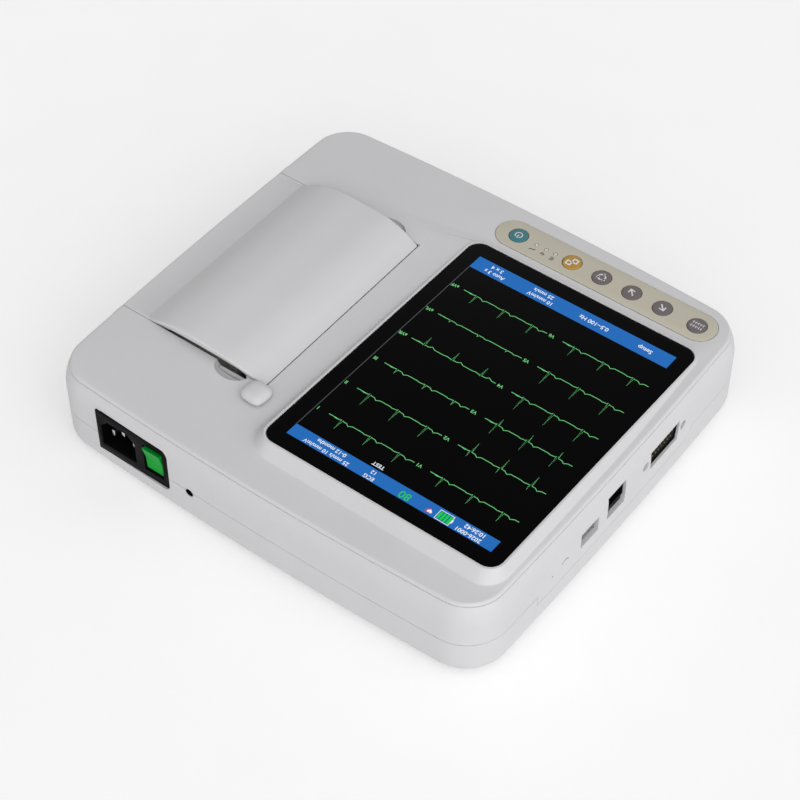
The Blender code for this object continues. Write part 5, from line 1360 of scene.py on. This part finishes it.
def smooth_curve(points):
    """A curve through the points without corners, a spline in five parts from point to point."""
    padded = [points[0], *points, points[-1]]
    curve = []
    for i in range(len(points) - 1):
        p = padded[i:i + 4]
        for t in (0.0, 0.2, 0.4, 0.6, 0.8):
            curve.append(tuple(
                0.5 * (
                    2 * b + (c - a) * t + (2 * a - 5 * b + 4 * c - d) * t * t
                    + (3 * b - a - 3 * c + d) * t ** 3
                )
                for a, b, c, d in zip(*p)
            ))
    curve.append(points[-1])
    return curve


def hump_ring(inset, base_z):
    """The hump's section in (x, z), pulled in along its own normals."""
    s = sizes()
    left = s.door_slot_x + SLOT_LINE
    span = s.hump_end_x - left
    curve = [(left + span * a, s.top_z + s.hump_height * b) for a, b in smooth_curve(HUMP_SHARES)]
    ring = [(left + min(inset, DOOR_WALL), base_z)]
    for i, (x, z) in enumerate(curve):
        before = curve[max(i - 1, 0)]
        after = curve[min(i + 1, len(curve) - 1)]
        along = Vector((after[0] - before[0], after[1] - before[1])).normalized()
        a = x + along.y * inset
        b = z - along.x * inset
        apart = min(i, len(curve) - 1 - i) * CORNER_STEP
        a = min(max(a, left + inset + apart), s.hump_end_x - inset - apart)
        ring.append((a, max(b, base_z + 0.3 * MM + apart)))
    ring.append((s.hump_end_x - min(inset, DOOR_WALL), base_z))
    return ring


def hump(inset, base_z, overhang, end_round, tuck=0.0):
    """The hump's solid; its end faces lean out with height, curving in at their foot by a tuck."""
    s = sizes()
    plain = hump_ring(inset, base_z)
    lows = [min(max(1.0 - (z - s.top_z) / s.hump_height, 0.0), 1.0) for _, z in plain]
    turns = quarter(5) if end_round else [(1.0, 1.0)]
    rings = []
    for end, out in ((s.door_front_y + s.gap + inset, -1.0), (s.door_rear_y - s.gap - inset, 1.0)):
        for sine, cosine in turns[::int(-out)]:
            drawn_in = hump_ring(inset + end_round * (1.0 - sine), base_z)
            back = end_round * (1.0 - cosine)
            rings.append([
                (x, end + out * (overhang - (overhang + tuck) * low ** 2 - back), z)
                for low, (x, z) in zip(lows, drawn_in)
            ])
    return loft(rings)


def end_undercut():
    """The crescent under the hump's rear end, which stands clear of the top plate for a fingertip."""
    s = sizes()
    low, high = (s.door_slot_x + share * (s.hump_end_x - s.door_slot_x) for share in UNDERCUT_REACH)
    end = s.door_rear_y - s.gap
    outside = end + OVERRUN
    lip = end + UNDERCUT_LIP
    rings = []
    for step in range(UNDERCUT_STEPS + 1):
        share = step / UNDERCUT_STEPS
        swell = abs(math.sin(math.pi * share)) ** 0.6
        depth = UNDERCUT_DEPTH * swell + 0.05 * MM
        rise = UNDERCUT_RISE * swell + 0.05 * MM
        ring = [(outside, s.top_z - UNDERCUT_FOOT), (end - depth, s.top_z - UNDERCUT_FOOT)]
        reach = depth + UNDERCUT_LIP
        ring += [(lip - reach * cosine, s.top_z + rise * sine) for sine, cosine in quarter(8)]
        ring.append((outside, s.top_z + 1.05 * rise))
        rings.append([(low + (high - low) * share, y, z) for y, z in reversed(ring)])
    return loft(rings)


def shape_of(item):
    """Takes an object apart into its shape and removes it."""
    shape = ([tuple(v.co) for v in item.data.vertices], [list(face.vertices) for face in item.data.polygons])
    bpy.data.objects.remove(item)
    return shape


def door_strip():
    """The door's flat right end, which follows the case down to the hinge."""
    s = sizes()
    reach = block(
        (s.hump_end_x - 2 * DOOR_WALL, s.door_front_y + s.gap, s.hinge_z + 0.05 * MM),
        (s.half_x + 8 * MM, s.door_rear_y - s.gap, s.top_z + OVERRUN),
    )
    strip = make("strip", case_loft(upper_section()))
    inside = case_loft(plain_section(DOOR_WALL), DOOR_WALL)
    return shape_of(carve(strip, [("INTERSECT", reach), *cuts(inside)]))


class ECG_OT_printer_door(bpy.types.Operator):
    """Moulds the printer door: a smooth hump with undercut ends, its hinge strip and its ears"""

    bl_idname = "ecg.printer_door"
    bl_label = "Printer door"

    def execute(self, context):
        s = sizes()
        base = s.top_z - DOOR_WALL - 0.07 * MM
        low_y = s.door_front_y
        high_y = s.door_rear_y
        roller_x, _, roller_z = middle("platen_roller")
        hook_low, hook_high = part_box("latch_hook")
        knuckles = [
            rod("Y", s.hinge_x, s.hinge_z, KNUCKLE, start, start + KNUCKLE_LENGTH)
            for start in (high_y - KNUCKLE_STARTS[0], low_y + KNUCKLE_STARTS[1])
        ]
        ears = [
            block((EAR_X[0], start, EAR_Z), (EAR_X[1], end, s.top_z - s.gap))
            for start, end in (
                (high_y - s.gap - EAR_LENGTHS[0], high_y - s.gap),
                (low_y + s.gap, low_y + s.gap + EAR_LENGTHS[1]),
            )
        ]
        notch = block(
            (NOTCH_X, hook_low.y - s.gap, hook_low.z - s.gap),
            (hook_high.x + s.gap, hook_low.y + NOTCH_LENGTH, hook_high.z + s.gap),
        )
        door = make("door_moulding", hump(0.0, base, OVERHANG, END_ROUND, END_TUCK), finishes()["case"])
        carve(door, cuts(
            end_undercut(), hump(DOOR_WALL, base - OVERRUN, 0.0, 0.0)
        ) + joins(
            door_strip(), combine(*knuckles), combine(*ears)
        ) + cuts(
            rod("Y", s.hinge_x, s.hinge_z, PIN_HOLE, low_y - OVERRUN, high_y + OVERRUN, 24),
            rod("Y", roller_x, roller_z, PIN_HOLE, low_y - OVERRUN, high_y - ROLLER_END_WALL, 24),
            notch,
        ), DOOR_CREASE, curved=True)
        stand_for(door, "door", "case_plastic", "printer_door")
        return {"FINISHED"}


class ECG_OT_latch(bpy.types.Operator):
    """Moulds the pebble-shaped latch button on its stem"""

    bl_idname = "ecg.latch"
    bl_label = "Latch button"

    def execute(self, context):
        low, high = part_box("latch_button")
        centre_x, centre_y, _ = middle("latch_button")
        half_x = 0.5 * (high.x - low.x) - BUTTON_INSET
        half_y = 0.5 * (high.y - low.y) - BUTTON_INSET
        base = sizes().top_z + BUTTON_FOOT
        rise = high.z - base
        levels = [(0.9, 0.0), (0.97, 0.06), (1.0, BUTTON_EDGE)]
        levels += [
            (cosine ** 0.75, BUTTON_EDGE + (1.0 - BUTTON_EDGE) * sine) for sine, cosine in quarter(16)[1:-1]
        ]
        levels.append((0.06, 1.0))
        around = []
        for i in range(BUTTON_SIDES):
            turn = i * math.tau / BUTTON_SIDES
            cosine, sine = math.cos(turn), math.sin(turn)
            power = BUTTON_POWERS[0] if cosine < 0.0 < sine else BUTTON_POWERS[1]
            across = math.copysign(abs(cosine) ** power, cosine) * half_x
            along = math.copysign(abs(sine) ** power, sine) * half_y
            around.append((across, along))
        rings = []
        for share, height in levels:
            ring = [(x * share, y * share) for x, y in around]
            rings.append([
                (min(max(x, low.x), high.x), min(max(y, low.y), high.y), base + rise * height)
                for x, y in turned_outline(ring, centre_x, centre_y, BUTTON_TURN)
            ])
        stem = block(
            (centre_x - STEM_HALF[0], centre_y - STEM_HALF[1], STEM_Z),
            (centre_x + STEM_HALF[0], centre_y + STEM_HALF[1], base + 0.5 * MM),
        )
        button = make("latch_cap", combine(loft(rings), stem), finishes()["case"], BUTTON_CREASE)
        stand_for(button, "latch_button", "case_plastic", "latch_button")
        return {"FINISHED"}


# Mains side and sockets

BEVEL_ANGLE = 35.0


def refined(node, name, finish, edge):
    """A copy of a CAD node with its seams merged and its edges rounded, as moulded or pressed."""
    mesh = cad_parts[node].data.copy()
    work = bmesh.new()
    work.from_mesh(mesh)
    bmesh.ops.remove_doubles(work, verts=work.verts, dist=1e-6)
    bmesh.ops.dissolve_limit(work, angle_limit=math.radians(0.5), verts=work.verts, edges=work.edges)
    work.to_mesh(mesh)
    work.free()
    mesh.materials.clear()
    mesh.materials.append(finish)
    item = link(name, mesh)
    step = item.modifiers.new("edge", "BEVEL")
    step.width = edge
    step.segments = 3
    step.limit_method = "ANGLE"
    step.angle_limit = math.radians(BEVEL_ANGLE)
    return bake(item, BEVEL_ANGLE)


ROCKER_INSET = 0.1 * MM
ROCKER_FOOT = 2.0 * MM
ROCKER_STEPS = 16
ROCKER_FALL = 2.6 * MM
ROCKER_FOLD = 0.9 * MM
# (place along the axis, radius) in mm, from the terminal's face or from its lip's
EARTH_BORE = ((-0.1, 1.95), (-0.4, 1.75), (-2.6, 1.7))
# Painted shade: a black lining set in the stud's bore that darkens the terminal's hole
EARTH_BORE_SHADE = ((-2.6, 1.68), (-0.4, 1.73), (-0.06, 1.93), (-0.02, 1.8), (-0.5, 1.1), (-2.3, 1.0))
EARTH_LIP = ((-0.45, 2.84), (0.0, 2.84), (0.05, 2.6), (-0.15, 2.3), (-0.45, 2.3))
EARTH_SIDES = 40
EARTH_STAND = 2.05 * MM
EARTH_FLANGE = 3.0 * MM
EARTH_STUD = 1.5 * MM
SOCKET_PIECES = (
    ("ecg_connector", "patient_connector", "nickel", 0.2 * MM),
    ("lan_socket", "network_jack", "nickel", 0.15 * MM),
    ("usb_socket", "usb_jack", "tin", 0.15 * MM),
    ("jack_screw_1", "jack_post_1", "tin", 0.2 * MM),
    ("jack_screw_2", "jack_post_2", "tin", 0.2 * MM),
)
CONTACT_ROWS = ((-1, 7), (1, 8))
CONTACT_PITCH = 2.75 * MM
CONTACT_RISE = 1.42 * MM
SPRINGS = 8
SPRING_PITCH = 1.02 * MM
SPRING_START = 3.85 * MM
SPRING_WIDTH = 0.45 * MM
SPRING_X = (2.5 * MM, 9.0 * MM)
SPRING_DROP = (2.6 * MM, 2.2 * MM)
PORT_ARC = (50.9, 27.6, 3.0, 0.5, 0.6, 1.9, 16)
PORT_DOT = (61.3, 28.2, 0.45)


class ECG_OT_mains_side(bpy.types.Operator):
    """Finishes the mains module, its pins, the green rocker and the earth terminal"""

    bl_idname = "ecg.mains_side"
    bl_label = "Mains side"

    def execute(self, context):
        f = finishes()
        module = refined("mains_inlet", "mains_module", f["black"], 0.25 * MM)
        stand_for(module, "case", "inlet_plastic", "mains_inlet")
        low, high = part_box("rocker_switch")
        half = 0.5 * (high.z - low.z) - ROCKER_INSET
        centre = middle("rocker_switch")[2]
        face = []
        for step in range(-ROCKER_STEPS, ROCKER_STEPS + 1):
            share = step / ROCKER_STEPS
            fold = ROCKER_FOLD * (math.sqrt(share * share + 0.006) - 1.0)
            fall = 0.5 * ROCKER_FALL * (1.0 - share)
            face.append((high.y - ROCKER_INSET - fall + fold, centre + half * share))
        outline = [*face, (low.y, high.z - ROCKER_FOOT), (low.y, low.z + ROCKER_FOOT)]
        body = prism(outline, "X", low.x + ROCKER_INSET, high.x - ROCKER_INSET)
        rocker = make("rocker_cap", body, f["rocker"])
        stand_for(rocker, "rocker", "rocker_green", "rocker_switch")
        for node in ("pin_line", "pin_neutral", "pin_earth"):
            stand_for(refined(node, node + "_blade", f["tin"], 0.3 * MM), "case", "socket_metal", node)
        low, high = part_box("earth_terminal")
        x, _, z = middle("earth_terminal")
        radius = 0.5 * (high.x - low.x)
        back = high.y - EARTH_FLANGE
        profile = [(low.y, EARTH_STUD), (back, EARTH_STUD), (back, radius - 0.3 * MM)]
        profile += [(high.y - 2.7 * MM, radius), (high.y - 0.5 * MM, radius)]
        profile.append((high.y - 0.2 * MM, radius - 0.25 * MM))
        profile += [(high.y + along * MM, size * MM) for along, size in EARTH_BORE]
        stud = make("earth_stud", turned("Y", x, z, profile, EARTH_SIDES), f["tin"])
        stand_for(stud, "case", "brass", "earth_terminal")
        # Painted shade: a black sleeve in the stud's bore and a black liner round the recess in front of it
        # darken the terminal's hole; the tin lip is real metal
        bore_shade = [(high.y + along * MM, size * MM) for along, size in EARTH_BORE_SHADE]
        mark("earth_sleeve", turned("Y", x, z, bore_shade, EARTH_SIDES), "black")
        front = high.y + EARTH_STAND
        lip = [(front + along * MM, size * MM) for along, size in EARTH_LIP]
        mark("earth_lip", tube("Y", x, z, lip, EARTH_SIDES), "tin")
        recess_shade = [(high.y + 0.02 * MM, 2.84 * MM), (front - 0.47 * MM, 2.84 * MM)]
        recess_shade += [(front - 0.47 * MM, 2.3 * MM), (high.y + 0.02 * MM, 2.25 * MM)]
        mark("earth_liner", tube("Y", x, z, recess_shade, EARTH_SIDES), "black")
        return {"FINISHED"}


def wall_patch(outline):
    """A thin closed patch on the left wall from its outline in mm, in (y, z) under the wall's bulge."""
    s = sizes()
    rings = []
    for lift in (-INK_DEPTH, INK_LIFT):
        rings.append([
            (-s.half_x - BULGE - lift - s.bow_x * (1.0 - (y * MM / (s.half_y + BULGE)) ** 2), y * MM, z * MM)
            for y, z in outline
        ])
    return loft(rings)


class ECG_OT_sockets(bpy.types.Operator):
    """Finishes the patient connector with its jack screws, the network socket and the USB socket"""

    bl_idname = "ecg.sockets"
    bl_label = "Sockets"

    def execute(self, context):
        f = finishes()
        for node, name, finish, edge in SOCKET_PIECES:
            stand_for(refined(node, name, f[finish], edge), "case", "socket_metal", node)
        dress(f["black"], "ecg_contacts")
        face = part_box("ecg_contacts")[0].x
        centre_z = middle("ecg_contacts")[2]
        profile = ((face - 0.02 * MM, 0.25 * MM), (face + 0.3 * MM, 0.5 * MM), (face + 2.0 * MM, 0.5 * MM))
        places = [
            (MOUTH_Y + (i - 0.5 * (count - 1)) * CONTACT_PITCH, centre_z + row * CONTACT_RISE)
            for row, count in CONTACT_ROWS for i in range(count)
        ]
        tips = [turned("X", y, z, profile, 12) for y, z in places]
        mark("contact_tips", combine(*tips), "brass")
        low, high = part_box("lan_socket")
        starts = [low.y + SPRING_START + i * SPRING_PITCH for i in range(SPRINGS)]
        springs = [
            block(
                (low.x + SPRING_X[0], y, high.z - SPRING_DROP[0]),
                (low.x + SPRING_X[1], y + SPRING_WIDTH, high.z - SPRING_DROP[1]),
            )
            for y in starts
        ]
        mark("network_springs", combine(*springs), "brass")
        # A dark upper arc and a separate dot, drawn on the left wall beyond the sockets
        arc = wall_patch(arc_band(*PORT_ARC))
        mark("port_marks", combine(arc, wall_patch(ring_outline(*PORT_DOT))), "ink")
        return {"FINISHED"}


# What repeats: screws, feet and board parts, set out by Geometry Nodes

def repeated(name, places, piece, turn=0.0):
    """Copies of a piece at places, as one mesh; the piece keeps its finish."""
    def copies(tree, entry):
        info = add(tree, "GeometryNodeObjectInfo", {"Object": piece})
        angle = add(tree, "FunctionNodeRandomValue", {"Min": 0.0, "Seed": 7})
        most = next(socket for socket in angle.inputs if socket.name == "Max" and socket.type == "VALUE")
        tree.links.new(entry.outputs["Largest turn"], most)
        out = next(socket for socket in angle.outputs if socket.type == "VALUE")
        spin = add(tree, "ShaderNodeCombineXYZ", {"Z": out})
        return add(tree, "GeometryNodeInstanceOnPoints", {
            "Points": entry.outputs["Geometry"], "Instance": info.outputs["Geometry"],
            "Rotation": spin.outputs["Vector"],
        }).outputs["Instances"]
    item = grown(name, places, [], copies, ("Largest turn", turn), piece.data.materials[0])
    bpy.data.objects.remove(piece)
    return item


# (height, radius) in mm
FOOT_PROFILE = ((0.3, 3.2), (0.05, 3.4), (0.0, 5.6), (0.25, 6.9), (0.8, 7.6), (1.6, 7.95))
HEAD_PROFILE = ((0.0, 1.7), (0.15, 2.3), (0.6, 2.6), (2.0, 2.6), (2.0, 1.4))
SHANK = 1.4 * MM
CROSS = (1.6 * MM, 0.35 * MM)
CROSS_DEPTH = 1.2 * MM
SCREW_TURN = 1.5
CHIP_HALF = (4.5 * MM, 3.5 * MM)
CHIP_HEIGHT = 1.4 * MM
CHIP_ROWS = (7, 6)
ROLL_CORE = 6.35 * MM
ROLL_RIM = 0.05 * MM
ROLL_TURNS = 18
ROLL_DIP = 0.12 * MM


INNER_FINISHES = {
    "dark": ("lcd_panel", "print_head", "paper_spindle", "loudspeaker"),
    "case": ("paper_tub",),
    "steel": (
        "lcd_bracket", "head_bracket", "latch_hook", "hinge_pin", "platen_shaft", "idler_axle", "feed_motor",
    ),
    "board": ("key_board", "main_board", "power_board"),
    "acetal": ("platen_gear", "idler_gear"),
    "brass": ("motor_pinion",),
    "cell": ("battery_pack",),
    "roller": ("platen_roller",),
}


def numbered(stem):
    return [f"{stem}_{i}" for i in range(1, 5)]


class ECG_OT_base_fittings(bpy.types.Operator):
    """Sets out the rubber feet and the case screws, and seats the battery cover"""

    bl_idname = "ecg.base_fittings"
    bl_label = "Base fittings"

    def execute(self, context):
        f = finishes()
        profile = [(z * MM, radius * MM) for z, radius in FOOT_PROFILE]
        profile.append((BASE_Z + FOOT_DEPTH - 0.35 * MM, profile[-1][1]))
        foot = make("foot", turned("Z", 0.0, 0.0, profile, 48), f["rubber"])
        feet = repeated("rubber_feet", [(x * MM, y * MM, 0.0) for x, y in FEET], foot)
        stand_for(feet, "case", "foot_rubber", *numbered("foot"))
        low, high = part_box("case_screw_1")
        profile = [(low.z + z * MM, radius * MM) for z, radius in HEAD_PROFILE]
        profile += [(high.z - MM, SHANK), (high.z, 0.4 * MM)]
        screw = make("screw", turned("Z", 0.0, 0.0, profile, 40), f["steel"])
        carve(screw, cuts(*[
            block((-x, -y, low.z - MM), (x, y, low.z + CROSS_DEPTH)) for x, y in (CROSS, CROSS[::-1])
        ]))
        screws = repeated("case_screws", [(x * MM, y * MM, 0.0) for x, y in SCREWS], screw, SCREW_TURN)
        stand_for(screws, "case", "inner_metal", *numbered("case_screw"))
        cover = refined("battery_cover", "battery_lid", f["case"], 0.3 * MM)
        stand_for(cover, "case", "case_plastic", "battery_cover")
        return {"FINISHED"}


def board_parts(name, node):
    """Rows of packaged chips on a board, in one mesh."""
    low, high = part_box(node)
    half_x, half_y = CHIP_HALF
    chip = make("chip", slab(
        lambda inset: rounded(-half_x + inset, half_x - inset, -half_y + inset, half_y - inset, 0.2 * MM, 2),
        "Z", 0.0, CHIP_HEIGHT, 0.15 * MM, 2,
    ), finishes()["chip"])
    count_x, count_y = CHIP_ROWS
    places = []
    for i in range(count_x):
        for j in range(count_y):
            x = low.x + (high.x - low.x) * (i + 1.0) / (count_x + 1.0)
            y = low.y + (high.y - low.y) * (j + 1.0 + 0.2 * math.sin(3.0 * i + j)) / (count_y + 1.0)
            places.append((x, y, high.z - 0.02 * MM))
    return repeated(name, places, chip)


class ECG_OT_inner_works(bpy.types.Operator):
    """Finishes the printer's works, the paper, the boards and the battery inside the case"""

    bl_idname = "ecg.inner_works"
    bl_label = "Inner works"

    def execute(self, context):
        f = finishes()
        for finish, nodes in INNER_FINISHES.items():
            dress(f[finish], *nodes)
        low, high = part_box("paper_roll")
        radius = 0.5 * (high.z - low.z)
        x, _, z = middle("paper_roll")
        ends = [
            (ROLL_CORE + (radius - ROLL_CORE - ROLL_RIM) * step / ROLL_TURNS, ROLL_DIP * (step % 2))
            for step in range(ROLL_TURNS + 1)
        ]
        profile = [(low.y + dip, r) for r, dip in ends] + [(high.y - dip, r) for r, dip in reversed(ends)]
        roll = make("chart_paper_roll", tube("Y", x, z, profile, 96), f["paper"])
        stand_for(roll, "roll", "chart_paper", "paper_roll")
        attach(board_parts("main_chips", "main_board"), "case")
        return {"FINISHED"}


# Stage

def seen(tree):
    """1 for the rays that show a surface to the eye, directly, in gloss or through glass."""
    path = add(tree, "ShaderNodeLightPath")
    first = calc(tree, "MAXIMUM", path.outputs["Is Camera Ray"], path.outputs["Is Glossy Ray"])
    return calc(tree, "MAXIMUM", first, path.outputs["Is Transmission Ray"])


def studio_white():
    """Matt white sweep paper, which looks a little brighter than it lights the machine."""
    material, tree, shader, where = start("studio_white", 0.9)
    grain = noise(tree, where, 40.0 * MM)
    tree.links.new(blend(tree, grain, (0.7, 0.7, 0.7), (0.73, 0.73, 0.73)), shader.inputs["Base Color"])
    shader.inputs["Specular IOR Level"].default_value = 0.1
    shader.inputs["Emission Color"].default_value = (1.0, 1.0, 1.0, 1.0)
    glow = calc(tree, "MULTIPLY", seen(tree), FLOOR_GLOW)
    tree.links.new(glow, shader.inputs["Emission Strength"])
    return material


def studio_light():
    """A large soft light: the room is brightest towards one side and falls off evenly to the other."""
    world = bpy.data.worlds.new("studio")
    world.use_nodes = True
    tree = world.node_tree
    plain = tree.nodes["Background"]
    plain.inputs["Color"].default_value = (WORLD_WHITE, WORLD_WHITE, WORLD_WHITE, 1.0)
    where = add(tree, "ShaderNodeTexCoord").outputs["Generated"]
    towards = add(tree, "ShaderNodeVectorMath", {0: where, 1: LIGHT_SIDE}, operation="DOT_PRODUCT")
    level = calc(tree, "MULTIPLY_ADD", towards.outputs["Value"], LIGHT_SLOPE, LIGHT_LEVEL)
    soft = add(tree, "ShaderNodeBackground", {"Strength": calc(tree, "MAXIMUM", level, 0.0)})
    mixed = add(tree, "ShaderNodeMixShader", {0: seen(tree), 1: soft.outputs[0], 2: plain.outputs[0]})
    tree.links.new(mixed.outputs[0], tree.nodes["World Output"].inputs["Surface"])
    return world


class ECG_OT_stage(bpy.types.Operator):
    """Sets a white studio floor, a soft light and the camera"""

    bl_idname = "ecg.stage"
    bl_label = "Stage"

    def execute(self, context):
        scene = context.scene
        sweep = rounded(-FLOOR_HALF, FLOOR_HALF, -FLOOR_HALF, FLOOR_HALF, 1.0, 12)
        floor = make("studio_floor", prism(sweep, "Z", -FLOOR_DEPTH, 0.0), studio_white())
        scene.world = studio_light()
        lamp = bpy.data.lights.new("key_light", "AREA")
        lamp.shape = "SQUARE"
        lamp.size = LAMP_SIDE
        lamp.energy = LAMP_POWER
        item = link("key_light", lamp)
        item.location = LAMP_PLACE
        item.rotation_euler = (Vector(LAMP_AIM) - Vector(LAMP_PLACE)).to_track_quat("-Z", "Y").to_euler()
        camera = bpy.data.cameras.new("camera")
        camera.lens = CAMERA_LENS
        camera.sensor_width = 36.0
        camera.clip_start = 0.01
        item = link("camera", camera)
        item.location = CAMERA_PLACE
        out = math.cos(CAMERA_ELEVATION)
        back = Vector((
            math.sin(CAMERA_AZIMUTH) * out, -math.cos(CAMERA_AZIMUTH) * out, math.sin(CAMERA_ELEVATION)
        ))
        item.rotation_euler = back.to_track_quat("Z", "Y").to_euler()
        scene.camera = item
        scene.view_settings.view_transform = "Standard"
        return {"FINISHED"}


WORLD_WHITE = 0.95
FLOOR_GLOW = 0.365
LIGHT_SIDE = (-0.82, 0.5, 0.25)
LIGHT_LEVEL = 0.73
LIGHT_SLOPE = 1.0
LAMP_PLACE = (-1.25, 0.95, 0.6)
LAMP_AIM = (0.0, 0.0, 0.03)
LAMP_SIDE = 1.5
LAMP_POWER = 5.0
FLOOR_HALF = 3.0
FLOOR_DEPTH = 0.01
CAMERA_LENS = 96.42
CAMERA_PLACE = (-452.57 * MM, 599.79 * MM, 833.81 * MM)
CAMERA_AZIMUTH = math.radians(217.126)
CAMERA_ELEVATION = math.radians(47.667)

PIECES = (
    ECG_OT_upper_case, ECG_OT_lower_case, ECG_OT_screen, ECG_OT_key_strip, ECG_OT_keys, ECG_OT_printer_door,
    ECG_OT_latch, ECG_OT_mains_side, ECG_OT_sockets, ECG_OT_base_fittings, ECG_OT_inner_works, ECG_OT_stage,
)


class ECG_PT_pieces(bpy.types.Panel):
    """Lists the machine's pieces"""

    bl_idname = "ECG_PT_pieces"
    bl_label = "ECG machine"
    bl_space_type = "VIEW_3D"
    bl_region_type = "UI"
    bl_category = "ECG machine"

    def draw(self, context):
        for piece in PIECES:
            self.layout.operator(piece.bl_idname)


CLASSES = (EcgSizes, EcgColours, *PIECES, ECG_PT_pieces)


def register():
    for item in CLASSES:
        bpy.utils.register_class(item)
    bpy.types.Scene.ecg_sizes = PointerProperty(type=EcgSizes)
    bpy.types.Scene.ecg_colours = PointerProperty(type=EcgColours)


def unregister():
    del bpy.types.Scene.ecg_colours
    del bpy.types.Scene.ecg_sizes
    for item in reversed(CLASSES):
        bpy.utils.unregister_class(item)


def main():
    register()
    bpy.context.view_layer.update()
    for piece in PIECES:
        group, name = piece.bl_idname.split(".")
        getattr(getattr(bpy.ops, group), name)()


if __name__ == "__main__":
    main()
